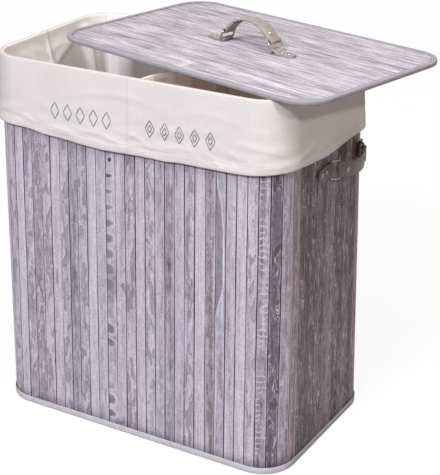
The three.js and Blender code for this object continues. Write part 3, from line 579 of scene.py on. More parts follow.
# Each slat is a closed strip: its section lies across the chord between its two edges and is
# carried up the wall, with a slight seeded bow and a slight step to its neighbours.
def buildSlatWall():
    count = slats["count"]
    dice = np.random.default_rng(5)
    moved = dice.uniform(-1, 1, count) * slats["jitter"]
    moved[slats["seenFrom"]:slats["seenFrom"] + len(slats["seen"])] = slats["seen"]
    edges = slats["offset"] + wall["perimeter"] / count * np.arange(count) + moved
    gap = np.random.default_rng(12).uniform(*slats["groove"], count)
    start = edges + gap / 2
    end = np.append(edges[1:], edges[0] + wall["perimeter"]) - np.roll(gap, -1) / 2
    section = slatSection(slats["thickness"], slats["bevel"], slats["crown"])
    z = np.linspace(wall["slatEnd"], wall["height"] - wall["slatEnd"], slats["rows"])[None, :]
    s = start[:, None]
    bow = 0.22 * sway(31, s, z, 60, 260) + slats["skew"] * (z - slats["plumbAt"])
    p0 = onWall(s + bow, 0, z)
    chord = onWall(end[:, None] + bow, 0, z) - p0
    length = np.linalg.norm(chord, axis=-1, keepdims=True)
    along = chord / length
    outward = np.stack([along[..., 1], -along[..., 0], 0 * along[..., 0]], -1)
    raised = 0.25 * dice.uniform(-1, 0.8, count)[:, None] + 0.14 * sway(77, s, z, 40, 300)
    grid = (p0[:, :, None, :]
            + along[:, :, None, :] * (section[:, 0] * length + section[:, 1])[..., None]
            + outward[:, :, None, :] * (section[:, 2] + raised[..., None])[..., None])
    half = (end - start) / 2
    across = (section[:, 0] - 0.5) * 2 * half[:, None] + section[:, 1]
    looks = slatLooks(dice, half, slats["tone"], slats["stain"])
    away = (start + end) / 2 - frontMiddle
    # the strips of the end get painted shade: a darker tone from the corner on, and a warmer,
    # browner tint further round
    ends = away < slats["endTo"]
    looks["tone"] += (slats["endShadeTone"] + dice.uniform(-0.22, 0.22, count)) * ends * ease(
        away, *slats["endFrom"])
    looks["tint"] += (1 - looks["tint"]) * ends * ease(away, *slats["endWarmShade"])
    for numbers, tone, stain in slats["own"]:
        looks["tone"][list(numbers)] = tone
        looks["stain"][list(numbers)] = stain
    looks["tint"][list(slats["pinkish"])] = 0.85
    for key in ("drops", "rungs", "tongue"):
        looks[key][slats[key]] = 1
        looks["stain"][slats[key]] = -1
    piece = stripPiece("slat_wall_strips", grid, across, z[:, :, None], looks, "body", bamboo)
    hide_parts("slat_wall")


# A closed section of pairs out and height, carried round the outline of the wall.
def wallRing(name, section, material, stations=420):
    section = np.asarray(section, float)
    s = np.arange(stations)[:, None] / stations * wall["perimeter"]
    return ringPiece(name, onWall(s, *section.T), section, wall["perimeter"], "body", material)


# The cloth that the slats are glued to, a thin ring just behind them, dark with painted shade for
# the grooves between them.
def buildBacking():
    out, inner = -slats["thickness"] + 0.02, -wall["thickness"]
    low, high = wall["slatEnd"], wall["height"] - wall["slatEnd"]
    piece = wallRing("slat_wall_backing", [(out, low), (out, high), (inner, high), (inner, low)],
                     shadedBackingCloth, stations=240)
    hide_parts("slat_wall")


hemTape = {"footHeight": 11.5, "rimHeight": 14, "thickness": 0.8, "ease": 0.5, "bulge": 2.2}


# A tape folded round an edge of the wall, seen in section: down one side, round the hoop in a
# half circle and up the other, first outside and then back along the inside.
def hemSection(edge, height):
    t, e, w = hemTape["thickness"], hemTape["ease"], wall["thickness"]
    outer, inner = e + t, -w - e - t
    half, turn = (outer - inner) / 2, np.linspace(0, math.pi, 9)
    middle, bulge = (outer + inner) / 2, hemTape["bulge"]
    outside = [(middle + half * math.cos(a), bulge * (1 - math.sin(a))) for a in turn]
    inside = [(middle + (half - t) * math.cos(a), t + bulge * (1 - math.sin(a))) for a in turn]
    section = [(outer - 0.25, height), (outer, height - 0.4)] + outside + [
        (inner, height - 0.4), (inner + 0.25, height), (inner + t - 0.1, height)] + inside[::-1] + [
        (outer - t + 0.1, height)]
    section = [(a, b if edge == 0 else edge - b) for a, b in section]
    return section[::-1] if edge == 0 else section


def buildHemTapes():
    for name, node, edge, height in (("foot_binding", "foot_hem_tape", 0, hemTape["footHeight"]),
                                     ("rim_binding", "rim_hem_tape", wall["height"],
                                      hemTape["rimHeight"])):
        piece = wallRing(name, hemSection(edge, height), footTape)
        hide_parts(node)


baseCloth = {"inset": 4.8, "height": 0.42, "thickness": 0.8}


# The panel sewn into the foot hem, seen from below.
def buildBaseCloth():
    edge = onWall(np.arange(160) / 160 * wall["perimeter"], -baseCloth["inset"], 0.4)
    piece = platePiece("base_panel_cloth", edge, 14, 0.02, lambda x, y: baseCloth["height"],
                       baseCloth["thickness"], "body", greyTape)
    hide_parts("base_cloth")


buildSlatWall()
buildBacking()
buildHemTapes()
buildBaseCloth()
print("wall of slats made")


liner = {
    "thickness": 1.0,
    "inset": 5.2,           # middle of the cloth, in from the slats' outer faces
    "bottom": 6.2, "cuffDrop": 107, "hem": 12,
    "stand": 2.2, "flare": 2.2,      # how far the cuff stands off the wall, and more at its hem
    # where the columns of the mesh are close: walked from, to, and their spacing
    "spacing": 4.8, "close": ((180, 430, 3.2), (485.6, 1085.6, 2.9)),
    # folds in the cuff: walked from the front's middle, height, turn, half length and width, rise
    "pulls": ((-186, 502, -14, 22, 2.6, 0.9), (-112, 491, -7, 34, 3.0, 1.1),
              (-44, 496, -5, 40, 3.2, 1.0), (-60, 487, -4, 30, 2.4, 0.7),
              (30, 492, 4, 34, 3.0, 0.8), (120, 500, -3, 46, 3.4, 0.5),
              (232, 518, -12, 40, 4.2, 0.7), (300, 500, 10, 34, 4.0, 1.2),
              (352, 494, 6, 40, 3.6, 1.1), (404, 530, 82, 22, 4.0, 1.6),
              (428, 516, 84, 26, 4.6, 1.8), (452, 522, 80, 22, 4.4, 1.4),
              (-20, 560, 2, 60, 5.0, 0.6), (150, 556, -2, 70, 5.0, 0.3),
              (620, 500, 5, 50, 4.0, 1.0), (800, 498, -4, 60, 4.0, 1.0),
              (930, 505, 8, 40, 4.0, 1.1), (1060, 500, -6, 44, 4.0, 1.0)),
    # folds inside: walked from the back's middle, height, turn, half length and width, rise
    "folds": ((286, 475, 90, 190, 15, 15), (216, 460, 90, 200, 17, 9),
              (396, 530, 90, 70, 3.4, 3.4),
              (366, 547, -22, 38, 6, 5), (362, 563, -14, 30, 12, 3), (342, 579, 3, 30, 4, 2.6),
              (452, 560, 30, 26, 6, 3), (474, 552, 38, 22, 5, 2.4), (430, 566, 20, 22, 5, 2),
              (120, 450, 90, 220, 22, 9), (40, 440, 91, 230, 18, 8), (-70, 450, 89, 220, 20, 9),
              (-170, 445, 90, 210, 16, 8), (-262, 460, 90, 200, 13, 12),
              (-340, 440, 91, 210, 18, 7), (-430, 450, 89, 210, 18, 8),
              (560, 450, 90, 200, 13, 10), (660, 440, 90, 210, 22, 7), (760, 450, 91, 210, 18, 8),
              (880, 445, 89, 210, 20, 8), (985, 450, 90, 200, 14, 9)),
    "lean": 7,              # the left end's cloth slants in this far below its rim
}
# lower edge of the cuff: height over the floor by the distance walked from the front's middle,
# from the middle of the left end through the front to the middle of the right end
cuffEdge = np.array([
    (-416, 484), (-350, 485), (-296, 486), (-250, 485.5), (-190, 484), (-172, 483), (-153, 479.7),
    (-116, 478.4), (-80, 475.6), (-44, 474.4), (-17, 475), (25, 476), (69, 476), (100, 479),
    (130, 479), (152, 479.5), (176, 479.5), (200, 480.8), (222, 482.7), (250, 484), (290, 484.5),
    (330, 481), (363, 478), (395, 478), (440, 480), (500, 481), (560, 482), (640, 480),
    (720, 479), (780, 481), (860, 480), (940, 482), (1020, 483), (1100, 484)])


# Short seeded creases near the cuff's hem, where the cloth was sewn a little too tight.
puckers = np.random.default_rng(23).uniform(
    (-760, 479, -34, 7, 1.1, 0.20), (760, 512, 34, 22, 2.0, 0.62), (150, 6))


# The cuff at a share of its drop: its height falls evenly to the lower edge there, and it stands
# out by an even flare, a hem, broad seeded waves and the pulls.
def cuffForm(away, share):
    lowest = np.interp(np.where(away < -416, away + wall["perimeter"], away),
                       cuffEdge[:, 0], cuffEdge[:, 1])
    z = wall["height"] - share * (wall["height"] - lowest)
    hem = ease(z - lowest, liner["hem"] + 1.2, liner["hem"] - 0.4)
    out = liner["stand"] + liner["flare"] * share + 0.7 * hem
    out = out + share * (1.3 + 1.2 * sway(3, away, z * 0.6, 170, 240, wall["perimeter"]))
    out = out + 0.35 * share * sway(4, away, z, 120, 22, wall["perimeter"])
    seam = 0.5 * (ease(away, 3, 6) - ease(away, 15, 18)) * ease(share, 0.05, 0.2)
    small = creases(away, z, puckers) * ease(share, 0.45, 0.75)
    return out + seam + small + creases(away, z, liner["pulls"]) * (1 - 0.6 * hem), z


# Columns at uneven steps: each step is the spacing asked for where it stands.
def linerColumns():
    at = np.arange(0, wall["perimeter"], 0.5)
    step = np.full(len(at), float(liner["spacing"]))
    for start, end, close in liner["close"]:
        step[(at > start) & (at < end)] = close
    share = np.concatenate([[0], np.cumsum(0.5 / step)])
    count = int(share[-1])
    return np.interp(np.arange(count) / count * share[-1], share, np.append(at, wall["perimeter"]))


# The cloth's path in section goes up the inside of the wall, over the rim in a flat arch, down
# outside, round the hem and a little way back up behind it. It is carried round the outline,
# then folds are added square to the cloth: long soft ones that hang down inside, and low pulls
# in the cuff.
def buildLinerShell():
    s = linerColumns()
    i, o, h = -liner["inset"], liner["stand"], wall["height"]
    foot = h - liner["cuffDrop"]
    path = [(i, z) for low, high, steps in ((liner["bottom"], h - 130, 20), (h - 124, h - 32, 18),
                                            (h - 27, h - 1.2, 7))
            for z in np.linspace(low, high, steps)]
    path += [((o + i) / 2 - (o - i) / 2 * math.cos(a), h - 0.6 + 1.5 * math.sin(a)) for a in
             np.linspace(0.25, math.pi - 0.25, 8)]
    inner = len(path)
    path += [(o, h - share * liner["cuffDrop"]) for share in np.linspace(0.014, 0.992, 38)]
    path += [(1.95, foot + 0.25), (1.4, foot), (0.85, foot + 0.25)]
    path += [(0.6, z) for z in np.linspace(foot + 1.2, foot + liner["hem"], 5)]
    path = np.array(path)
    across, up = path[None, :, 0], path[None, :, 1]
    outside = (np.arange(len(path)) >= inner)[None, :]
    depth = h - up
    whole = wall["perimeter"]
    away = ((s - frontMiddle + whole / 2) % whole - whole / 2)[:, None]
    out, z = cuffForm(away, np.clip(depth / liner["cuffDrop"], 0, 1) * outside)
    # inside: folds that hang down and fade at the rim and at the floor
    hang = sway(8, away, depth * 0.12, 74, 500, whole, 9)
    near = s[:, None] - whole * (s[:, None] > 1100)
    folds = creases(near, up, liner["folds"])
    slant = np.exp(-((s[:, None] - 408) / 62) ** 4) * liner["lean"] * ease(depth, 4, 70)
    push = ease(depth, 6, 150) * (3.0 + 2.4 * hang) + (folds * ease(depth, 3, 24) + slant)
    out = np.where(outside, out - o + across, across - push * ease(up, 4, 60))
    z = np.where(outside, z, up)
    grid = onWall(s[:, None], out, z, share=np.where(outside | (depth < 26), z / h, 1.0))
    walked = walkedAlong(path)
    uvGrid = np.stack(np.meshgrid(np.append(s, whole), walked, indexing="ij"), -1)
    hemLine, rimShadeLine = walked[-9] - liner["hem"], walked[inner - 3]    # painted shade along the top of the rim, to dim its highlight
    cloth = cottonMaterial("sewn_cotton_linen_plain_weave", clothLook["colour"],
                           clothLook["slub"], lines=(
                               (0, frontMiddle + 4.5, 1.2, 0, 0.35), (0, 242, 1.2, 0, 0.5),
                               (0, 396, 2.0, 0, 1.0), (1, hemLine, 0.8, 3.4, 0.8),
                               (1, rimShadeLine, 4.5, 0, 0.75)))
    piece = gridPiece("liner_cloth", grid, "liner", cloth, uvGrid, loopRows=True,
                      thickness=liner["thickness"])
    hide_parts(*[f"liner_{part}_{side}" for part in ("cuff", "bag")
                         for side in ("front", "right", "back", "left")])


# A flat panel under the bins with low random waves.
def buildLinerBottom():
    edge = onWall(np.arange(160) / 160 * wall["perimeter"], -liner["inset"] + 0.4, 5.2, share=1.0)
    piece = platePiece("liner_floor_cloth", edge, 16, 0.02,
                       lambda x, y: 5.1 + 0.17 * (1 + sway(12, x, y, 90, 90)), 0.8, "liner",
                       cotton)
    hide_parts("liner_bottom")


divider = {
    "half": 140.8, "hem": 10.6, "bottom": 6.4,
    # upper edge: place from front to back, and height over the floor
    "top": ((-141, 578), (-106, 575.5), (-60, 572.5), (-42, 570), (-24, 565), (-8, 561.5),
            (20, 561), (60, 563), (100, 568), (141, 574)),
    # folds by place from front to back, height, turn, half length and width, rise
    "folds": ((-30, 520, 90, 110, 30, 9), (-6, 510, 96, 90, 8, -9), (16, 500, 88, 120, 8, 6),
              (48, 490, 88, 160, 12, -7), (92, 500, 91, 150, 10, 6)),
}


# The panel between the bins: a cloth in the middle plane, whose upper edge sags between its ends,
# with a hem folded over it and soft folds that grow towards its middle.
def buildDivider():
    half = divider["half"]
    y = np.linspace(-half, half, 110)[:, None]
    top = np.interp(y, *np.transpose(divider["top"]))
    z = divider["bottom"] + (top - divider["bottom"]) * np.linspace(0, 1, 60)[None, :]
    away = np.minimum(half - np.abs(y), 50) / 50
    x = 2.0 * sway(21, y, z * 0.2, 88, 420) + 1.6 * sway(22, y, z, 150, 300)
    x = (x + creases(y, z, divider["folds"])) * away * ease(z, 4, 80)
    y = y + 0 * z
    piece = gridPiece("liner_divider_cloth", np.stack([x, y, z], -1), "liner", cotton,
                      np.stack([y, z], -1), thickness=1.8)
    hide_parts("liner_divider")
    right = np.array([(0, 0.3), (1.2, -0.1), (1.9, -1.2), (1.9, -6), (1.9, -divider["hem"])])
    fold = np.vstack([right[:0:-1] * (-1, 1), right])
    y = y[:, :len(fold)]
    hem = np.stack([x[:, -1:] + fold[:, 0], y, top + fold[:, 1]], -1)
    uvHem = np.stack([y, np.linspace(0, 24, len(fold)) + 0 * y], -1)
    binding = gridPiece("liner_divider_hem", hem, "liner", cotton, uvHem, thickness=0.8)


# A flat band's section, as pairs across and up, with rounded corners. width may be an array.
def bandSection(width, low, high, roundness):
    w = np.asarray(width, float)[..., None] / 2
    r = np.minimum(min(roundness, (high - low) / 2 - 0.01), w * 0.98)
    angle = np.radians([0, 30, 60, 90, 90, 120, 150, 180, 180, 210, 240, 270, 270, 300, 330, 360])
    sideways = np.repeat([1, -1, -1, 1], 4) * (w - r) + r * np.cos(angle)
    upwards = np.repeat([1, 1, 0, 0], 4) * (high - r) + np.repeat([0, 0, 1, 1], 4) * (low + r)
    return np.stack(np.broadcast_arrays(sideways, upwards + r * np.sin(angle)), -1)


# Directions along a line of x and z, and square to it.
def lineWays(line):
    way = np.gradient(line, axis=0)
    way /= np.linalg.norm(way, axis=1, keepdims=True)
    return way, way[:, ::-1] * (-1, 1)


# Carries sections along a line of x and z that lies aside by some distance. Each section's pairs
# go towards -y and square to the line.
def sweep(line, aside, sections):
    up = lineWays(line)[1]
    x, z = (line[:, i, None] + sections[..., 1] * up[:, i, None] for i in (0, 1))
    return np.stack([x, aside - sections[..., 0], z], -1)


motif = {
    "height": 520, "halfWidth": 8, "halfHeight": 13, "thread": 1.7, "raise": 0.45,
    "open": (-128, -104, -80, -56, -32), "filled": (44, 70, 96, 122, 148),
}


# Plain diamonds in satin stitch: each bar of thread is a low rounded band laid on the cuff's own
# surface between two corners, and narrows towards them.
def buildMotifs():
    w, q = motif["halfWidth"], motif["halfHeight"]
    narrow = np.sin(np.linspace(0.25, math.pi - 0.25, 7)) ** 0.3
    section = bandSection(motif["thread"] * narrow, -0.1, motif["raise"], 0.26)[:, ::-1]
    for name, middles, sizes in (("left_cuff_embroidery", motif["open"], (1,)),
                                 ("right_cuff_embroidery", motif["filled"], (1, 0.45))):
        tubes = []
        for middle, size in ((m, size) for m in middles for size in sizes):
            corners = np.array([(0, q), (w, 0), (0, -q), (-w, 0), (0, q)]) * size
            for a, b in zip(corners[:-1], corners[1:]):
                way = (b - a) / np.linalg.norm(b - a)
                line = a + (b - a) * np.linspace(0.02, 0.98, 7)[:, None]
                s = middle + line[:, None, 0] - way[1] * section[..., 0]
                z = motif["height"] + line[:, None, 1] + way[0] * section[..., 0]
                share = (wall["height"] - z) / (wall["height"] - cuffForm(s, 1.0)[1])
                out = cuffForm(s, share)[0] + liner["thickness"] / 2 + section[..., 1]
                tubes.append((onWall(frontMiddle + s, out, z), False))
        tubePiece(name, tubes, "liner", thread)


buildLinerShell()
buildLinerBottom()
buildDivider()
buildMotifs()
print("liner made")


lid = {
    "length": 520, "depth": 322, "radius": 50, "tapeWidth": 8, "tape": 0.8,
    "shift": (80, 62), "turn": -13.4, "bottom": 589.8,
    "face": 5.9, "cloth": 4.2, "lining": 1.1, "thickness": 7.0,
    "slats": 18, "groove": 0.9, "tone": (0.34, 0.50), "stain": (-1.0, 0.6),
    "plateInset": 1.4, "plate": 0.5,
}
lidPlan = lid["length"], lid["depth"], lid["radius"]
lidFrame = (Matrix.Translation((*lid["shift"], lid["bottom"]))
            @ Matrix.Rotation(math.radians(lid["turn"]), 4, "Z"))


# Strips side by side along the lid, each a low crowned section, whose ends follow the rounded
# outline: half the straight length, less what a circle takes off at that depth.
def buildLidSlats():
    inset = lid["tape"] + 0.5
    span, count = lid["depth"] - 2 * inset, lid["slats"]
    dice = np.random.default_rng(14)
    edges = -span / 2 + span / count * np.arange(count + 1)
    edges[1:-1] += dice.uniform(-0.8, 0.8, count - 1)
    start, end = edges[:-1] + lid["groove"] / 2, edges[1:] - lid["groove"] / 2
    start[0], end[-1] = edges[0], edges[-1]
    section = slatSection(lid["face"] - lid["cloth"] - 0.5, 0.35, 0.14)
    half = (end - start) / 2
    across = (section[:, 0] - 0.5) * 2 * half[:, None] + section[:, 1]
    y = across + ((start + end) / 2)[:, None]
    long, deep, r = lid["length"] / 2 - inset, lid["depth"] / 2 - inset, lid["radius"] - inset
    over = np.clip(np.abs(y) - (deep - r), 0, r)
    reach = long - r + np.sqrt(r * r - over**2)
    x = np.linspace(-1, 1, 30)[None, :, None] * reach[:, None, :]
    raised = 0.14 * dice.uniform(-1, 0.5, count)[:, None, None] + 0.1 * sway(
        41, x, y[:, None, :] * 0.2, 300, 90)
    z = lid["face"] + section[:, 2] + raised
    grid = np.stack(np.broadcast_arrays(x, y[:, None, :], z), -1)
    looks = slatLooks(dice, half, lid["tone"], lid["stain"])
    piece = stripPiece("lid_slat_strips", place(grid, lidFrame), across, x, looks, "lid",
                       lidBamboo, turn=True)
    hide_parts("lid_slats")


# A thin flat sheet in the lid's outline.
def lidPlate(name, bottom, material):
    walked = np.arange(144) / 144 * outlineLength(*lidPlan)
    edge, out = walkOutline(walked, *lidPlan)
    return platePiece(name, edge - out * lid["plateInset"], 12, 0.01,
                      lambda x, y: bottom + lid["plate"] / 2, lid["plate"], "lid", material,
                      lidFrame)


def buildLid():
    buildLidSlats()
    w, t, h = lid["tapeWidth"], lid["tape"], lid["thickness"]
    section = np.array([(-w, 0.15), (-w + 0.3, 0), (-1.6, 0), (-0.5, 0.45), (0, 1.6), (0, h - 1.6),
                        (-0.5, h - 0.45), (-1.6, h), (-w + 0.3, h), (-w, h - 0.15), (-w, h - t),
                        (-2, h - t), (-t, h - 1.8), (-t, 1.8), (-2, t), (-w, t)])
    # the binding takes the darker copy of the tape, painted shade on the lid's edge
    tape = ringPiece("lid_binding", place(carryRound(section, 360, *lidPlan), lidFrame), section,
                     outlineLength(*lidPlan), "lid", shadedLidTape)
    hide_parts("lid_edge_tape")
    backing = lidPlate("lid_backing_cloth", lid["cloth"], shadedBackingCloth)
    lining = lidPlate("lid_lining_cloth", lid["lining"], cotton)
    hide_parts("lid_lining")


buildLid()
print("lid made")


handle = {
    "tabLength": 35, "tabTip": 17, "width": 23, "ply": 1.5, "clear": 0.3,
    "thickness": 2.2, "loopThickness": 1.5, "lap": 1.6, "lapLength": 25,
    "curve": 2.3, "loop": 3.15,
    "wire": 3, "reach": 15, "ringWidth": 28, "corner": 3.5, "pivot": 3.6,
    "rivets": (10, 24.5), "strapRivet": 14, "head": 8, "dome": 2, "backHead": 7, "shank": 3,
    "tabTop": 3.35, "strapFaces": (-2.8, 1.15),      # where the rivets' heads sit
    "bite": (0.3, 0.8),     # how far a back head sinks behind the wall, and round the corner
}
lean = math.atan2(wall["drawIn"], wall["height"])
sideAt = {"height": 450, "flatEnd": 97.997, "bendRadius": 52.73, "bendStart": 1}


# Along the strap, across it and out of the leaning end wall.
def sideFrame(side):
    reach = wall["length"] / 2 - wall["drawIn"] * sideAt["height"] / wall["height"]
    along = Vector((0, side, 0))
    out = Vector((side * math.cos(lean), 0, math.sin(lean)))
    m = Matrix((along, out.cross(along), out)).transposed().to_4x4()
    middle = sideAt["flatEnd"] - sideAt["bendStart"] - 50
    m.translation = Vector((side * reach, middle, sideAt["height"]))
    return m


# the side handles take the darker copies of the leather and the nickel: painted shade on the ends
sideHandle = dict(span=100, angle=52, rise=11, carrier="body", bent="back", grip=3.0,
                  look=shadedLeather, shine=shadedNickel)
handles = {
    "right_handle": dict(sideHandle, ends=("front", "back"), frame=sideFrame(1), droop=4),
    "left_handle": dict(sideHandle, ends=("back", "front"), frame=sideFrame(-1), droop=-4),
    "lid_handle": dict(ends=("left", "right"), span=104, angle=70, rise=25,
                       frame=lidFrame @ Matrix.Translation((9, 0, lid["face"])),
                       carrier="lid", bent=None, grip=4.8, droop=0, look=leather, shine=nickel),
}


# Lays points over the corner: past the start of the bend, distance along becomes an angle.
def bendOver(points, bent):
    if not bent:
        return points
    radius, start = sideAt["bendRadius"], sideAt["bendStart"]
    x, z = points[..., 0], points[..., 2]
    turn = np.maximum(x - start, 0) / radius
    return np.stack([np.where(x > start, start + (radius + z) * np.sin(turn), x), points[..., 1],
                     np.where(x > start, (radius + z) * np.cos(turn) - radius, z)], -1)


# A strip of leather folded in half round the ring's bar: along the surface, round the bar in a
# circle, and back in a smooth slope onto itself. Its tail narrows evenly to a round tip.
def tabTube(bent):
    ply, tip, full = handle["ply"], handle["tabTip"] / 2, handle["width"]
    straight = handle["tabLength"] - tip
    angles = np.linspace(0, math.radians(86), 9)
    tail = np.concatenate([np.linspace(0, straight, 12)[:-1], straight + tip * np.sin(angles)])
    wide = np.concatenate([np.linspace(full, 2 * tip, 12)[:-1], 2 * tip * np.cos(angles)])
    radius = handle["pivot"] - handle["clear"] - ply / 2
    low, high = handle["clear"] + ply / 2, handle["clear"] + ply * 1.5
    turn = np.linspace(-math.pi / 2, -3 * math.pi / 2, 15)[1:-1]
    slope = handle["pivot"] + radius - (handle["pivot"] + radius - high) * ease(tail, 0, 9.5)
    x = np.concatenate([tail[::-1], radius * np.cos(turn), tail])
    z = np.concatenate([0 * tail + low, handle["pivot"] + radius * np.sin(turn), slope])
    width = np.concatenate([wide[::-1], 0.0 * turn + full, wide])
    return bendOver(sweep(np.stack([x, z], -1), 0, bandSection(width, -ply / 2, ply / 2, 0.5)),
                    bent)


# A wire ring: a circle carried round a rounded rectangle, one of whose bars lies on the pivot.
def ringTube(angle):
    turn = np.linspace(0, 2 * math.pi, 17)[:-1]
    grid = carryRound(handle["wire"] / 2 * np.stack([np.cos(turn), np.sin(turn)], -1), 96,
                      handle["reach"], handle["ringWidth"], handle["corner"])
    return place(grid, Matrix.Translation((0, 0, handle["pivot"]))
                 @ Matrix.Rotation(angle - math.pi, 4, "Y")
                 @ Matrix.Translation((handle["reach"] / 2, 0, 0)))


# A rivet turned about its axis: a flat back head, a shank, and a domed head with a rolled edge.
def rivetTube(bottom, top):
    back, shank, head = handle["backHead"] / 2, handle["shank"] / 2, handle["head"] / 2
    dome = np.linspace(0.12, math.pi / 2 - 0.05, 9)
    profile = [(0.05, bottom - 0.8), (back - 0.2, bottom - 0.8), (back, bottom - 0.6),
               (back, bottom), (shank, bottom), (shank, top), (head - 0.15, top), (head, top + 0.2)]
    profile = np.array(profile + [(head * math.cos(a), top + 0.2
                                   + (handle["dome"] - 0.2) * math.sin(a)) for a in dome])
    turn = np.linspace(0, 2 * math.pi, 33)[:-1]
    x, y = (profile[:, :1] * way for way in (np.cos(turn), -np.sin(turn)))
    return np.stack([x, y, profile[:, 1:] + 0 * x], -1)


# One tube of a handle, laid where it belongs in place of its CAD node. Both are named after the
# handle, their kind and their end.
def handlePart(prefix, kind, node, end, tube, at, body, slot, closed=False):
    look = handles[prefix]["look" if slot == "leather" else "shine"]
    piece = tubePiece(f"{prefix}_{kind}{end}", [(place(tube, at), closed)], body, look)
    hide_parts(f"{prefix}_{node}{end}")


# The strap's middle line is a power curve between the two ring bars. One band lies over it,
# goes round each bar in a half circle and doubles back under itself; it hangs a little sideways
# in the middle on the side handles, by a parabola. Gives the places of its rivets.
def buildStrap(prefix, h):
    a = math.radians(h["angle"])
    half = h["span"] / 2 - handle["reach"] * math.cos(a)
    foot = handle["pivot"] + handle["reach"] * math.sin(a)
    share = np.linspace(-1, 1, 91)
    line = np.stack([half * share, foot + h["rise"] * (1 - np.abs(share) ** handle["curve"])], -1)
    way, up = lineWays(line)
    walked = walkedAlong(line)
    toEnd = np.minimum(walked, walked[-1] - walked)
    near = ease(toEnd, 0, 7)
    loop, t, lap, thin = (handle[key] for key in ("loop", "thickness", "lap", "loopThickness"))
    over = line + up * (loop * (1 - near))[:, None]
    under = line - up * (loop + ((t + lap) / 2 + 0.03 - loop) * near)[:, None]
    turn = np.linspace(0, math.pi, 13)[1:-1, None]
    first = line[0] - loop * np.cos(turn) * up[0] - loop * np.sin(turn) * way[0]
    last = line[-1] + loop * np.cos(turn) * up[-1] + loop * np.sin(turn) * way[-1]
    doubled = toEnd < handle["lapLength"]
    left, right = doubled & (share < 0), doubled & (share > 0)
    path = np.concatenate([under[left][::-1], first, over, last, under[right][::-1]])
    bend = np.full(len(turn), thin)
    thick = np.concatenate([thin + (lap - thin) * near[left][::-1], bend,
                            thin + (t - thin) * near, bend,
                            thin + (lap - thin) * near[right][::-1]])
    section = bandSection(np.full(len(path), float(handle["width"])), -0.5, 0.5, 0.32)
    section[..., 1] *= thick[:, None]
    sag = h["droop"] * (1 - np.clip(path[:, :1] / half, -1, 1) ** 2)
    handlePart(prefix, "leather_strap", "strap", "", sweep(path, -sag, section), h["frame"],
               f"{prefix}_strap_body", "leather")
    spots = []
    for side in (-1, 1):
        at = int(np.argmin(np.abs(toEnd - handle["strapRivet"]) + 1e3 * (share * side < 0)))
        step = line[at + 1] - line[at - 1]
        sideways = -h["droop"] * (1 - share[at] ** 2)
        spots.append(Matrix.Translation((line[at, 0], sideways, line[at, 1]))
                     @ Matrix.Rotation(-math.atan2(step[1], step[0]), 4, "Y"))
    return spots


def buildHandle(prefix, h):
    spots = buildStrap(prefix, h)
    for number, end in enumerate(h["ends"]):
        bent, last = h["bent"] == end, f"_{end}"
        half = (h["frame"] @ Matrix.Rotation(math.pi * (number == 0), 4, "Z")
                @ Matrix.Translation((h["span"] / 2, 0, 0)))
        handlePart(prefix, "leather_tab", "tab", last, tabTube(bent), half, h["carrier"], "leather")
        handlePart(prefix, "wire_ring", "ring", last, ringTube(math.radians(h["angle"])), half,
                   f"{prefix}_ring_{end}_body", "nickel", closed=True)
        for spot, x in enumerate(handle["rivets"], 1):
            rivet = rivetTube(-h["grip"] - handle["bite"][bent], handle["tabTop"])
            turn = max(x - sideAt["bendStart"], 0) / sideAt["bendRadius"] * bent
            foot = bendOver(np.array([x, 0, 0.0]), bent)
            at = half @ Matrix.Translation(foot) @ Matrix.Rotation(turn, 4, "Y")
            handlePart(prefix, "tab_domed_rivet", "tab_rivet", f"{last}_{spot}", rivet, at,
                       h["carrier"], "nickel")
        handlePart(prefix, "strap_domed_rivet", "strap_rivet", last,
                   rivetTube(*handle["strapFaces"]), h["frame"] @ spots[number],
                   f"{prefix}_strap_body", "nickel")


for prefix, h in handles.items():
    buildHandle(prefix, h)
print("handles made")


# The CAD nodes that stay, the hoops and boards, get their materials.
finishes = {"nickel": nickel, "steel": steel, "leather": leather, "board": board,
            "slats": bamboo, "tape": greyTape, "cotton": cotton}
for row in frame["record"]["subparts"]:
    solid = frame["nodes"][row["node"]]
    solid.data.materials.clear()
    solid.data.materials.append(finishes[row["material_slot"]])


view = {
    "place": (1055.814, -1680.880, 1152.333), "yaw": -0.530622, "pitch": 0.412477,
    "roll": 0.001224, "focus": 1355.248, "pixels": 475, "sensor": 36,
}

studio = {
    # suns: where they stand seen from the object, watts per square metre, spread, colour
    "suns": {"key": ((-0.025, -0.76, 0.62), 2.38, 10, "#eef5ff"),
             "right": ((0.74, -0.32, 0.60), 0.64, 4, "#fff4ee")},
    # soft boxes: place in metres, what they face, watts, width and height, colour
    "boxes": {"above": ((0.30, -0.45, 1.60), (-0.05, 0.05, 0.55), 8.5, 0.6, 0.5, "#ffffff"),
              "bounce": ((0.60, -0.02, 0.006), (0.60, -0.02, 1.0), 0.92, 0.5, 0.6, "#fff6f6"),
              "leftBin": ((-0.03, -0.10, 0.42), (-0.24, 0.05, 0.55), 0.068, 0.06, 0.16, "#ffffff"),
              "divider": ((0.06, -0.07, 0.572), (0.0, -0.06, 0.562), 0.009, 0.02, 0.08, "#fff0e6"),
              "rightBin": ((0.17, -0.07, 0.40), (0.0, -0.04, 0.56), 0.055, 0.06, 0.12, "#ffdcc4")},
    "sky": 0.22, "skyColour": "#ffdfce",
    "floor": 0.15,          # how much light the floor sends back up
    "glow": 0.92, "shadow": 0.10,
}


# The camera looks along yaw and pitch, turned by its roll; its focus is in pixels of the picture.
def buildCamera():
    lens = bpy.data.cameras.new("camera")
    lens.sensor_width, lens.sensor_fit = view["sensor"], "AUTO"
    lens.lens = view["focus"] / view["pixels"] * view["sensor"]
    camera = addObject("camera", lens)
    camera.matrix_world = (Matrix.Translation(Vector(view["place"]) * 0.001)
                           @ Matrix.Rotation(-view["yaw"], 4, "Z")
                           @ Matrix.Rotation(math.pi / 2 - view["pitch"], 4, "X")
                           @ Matrix.Rotation(view["roll"], 4, "Z"))
    bpy.context.scene.camera = camera


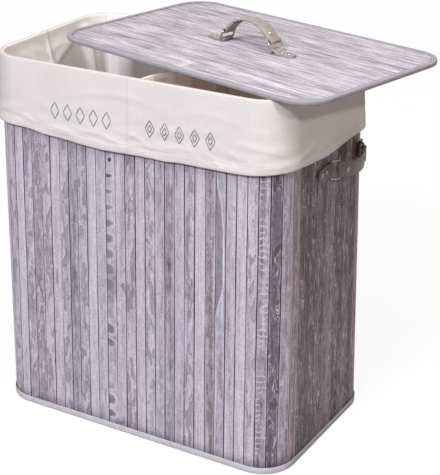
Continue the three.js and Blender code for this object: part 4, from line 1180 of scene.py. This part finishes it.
# A far lamp with soft-edged shadows, or a near soft box; neither shows itself in the picture.
def addLamp(name, kind, strength, colour, towards, at=(0, 0, 0), spread=0, size=(1, 1)):
    lamp = bpy.data.lights.new(name, kind)
    lamp.energy, lamp.color = strength, toLinear(colour)[:3]
    if kind == "SUN":
        lamp.angle = math.radians(spread)
    else:
        lamp.shape, lamp.size, lamp.size_y = "RECTANGLE", size[0], size[1]
    holder = addObject(name, lamp)
    holder.rotation_euler = Vector(towards).to_track_quat("Z", "Y").to_euler()
    holder.location = at
    holder.visible_camera = False


# A white sweep that keeps a faint shadow, a dim warm sky, a key lamp in front, a weak one from
# the right, a soft box over the bins, a low one that stands for light off the paper, and three
# weak ones inside the bins. The sweep and the sky look white only to the camera and in mirrors.
def buildStudio():
    mesh = bpy.data.meshes.new("studio_floor")
    mesh.from_pydata([(-9, -9, 0), (9, -9, 0), (9, 9, 0), (-9, 9, 0)], [], [(0, 1, 2, 3)])
    floor = addObject("studio_floor", mesh)
    material, node, shade = newMaterial("white_paper_sweep", Roughness=0.9)
    shade({"Base Color": (studio["floor"],) * 3 + (1,)})
    nodes = material.node_tree.nodes
    mesh.materials.append(material)
    ray = node("LightPath", give=None)
    seen = node("Math MAXIMUM", ray["Is Camera Ray"], ray["Is Glossy Ray"])
    both = node("AddShader", node("BsdfDiffuse", (studio["shadow"],) * 3 + (1,)),
                node("Emission", (1, 1, 1, 1), studio["glow"]))
    mixed = node("MixShader", seen, nodes["Principled BSDF"].outputs[0], both)
    feed(material.node_tree, nodes["Material Output"], {0: mixed})
    world = bpy.data.worlds.new("studio")
    world.use_nodes = True
    bpy.context.scene.world = world
    node = partial(addNode, world.node_tree)
    ray = node("LightPath", give=None)
    seen = node("Math MAXIMUM", ray["Is Camera Ray"], ray["Is Glossy Ray"])
    seen = node("Math MAXIMUM", seen, ray["Is Transmission Ray"])
    mixed = node("MixShader", seen, node("Background", studio["skyColour"], studio["sky"]),
                 node("Background", (1, 1, 1, 1), 1.0))
    feed(world.node_tree, world.node_tree.nodes["World Output"], {0: mixed})
    for name, (towards, strength, spread, colour) in studio["suns"].items():
        addLamp(name, "SUN", strength, colour, towards, spread=spread)
    for name, (at, faces, strength, wide, tall, colour) in studio["boxes"].items():
        addLamp(name, "AREA", strength, colour, Vector(at) - Vector(faces), at, size=(wide, tall))
    bpy.context.scene.view_settings.view_transform = "Standard"


buildCamera()
buildStudio()
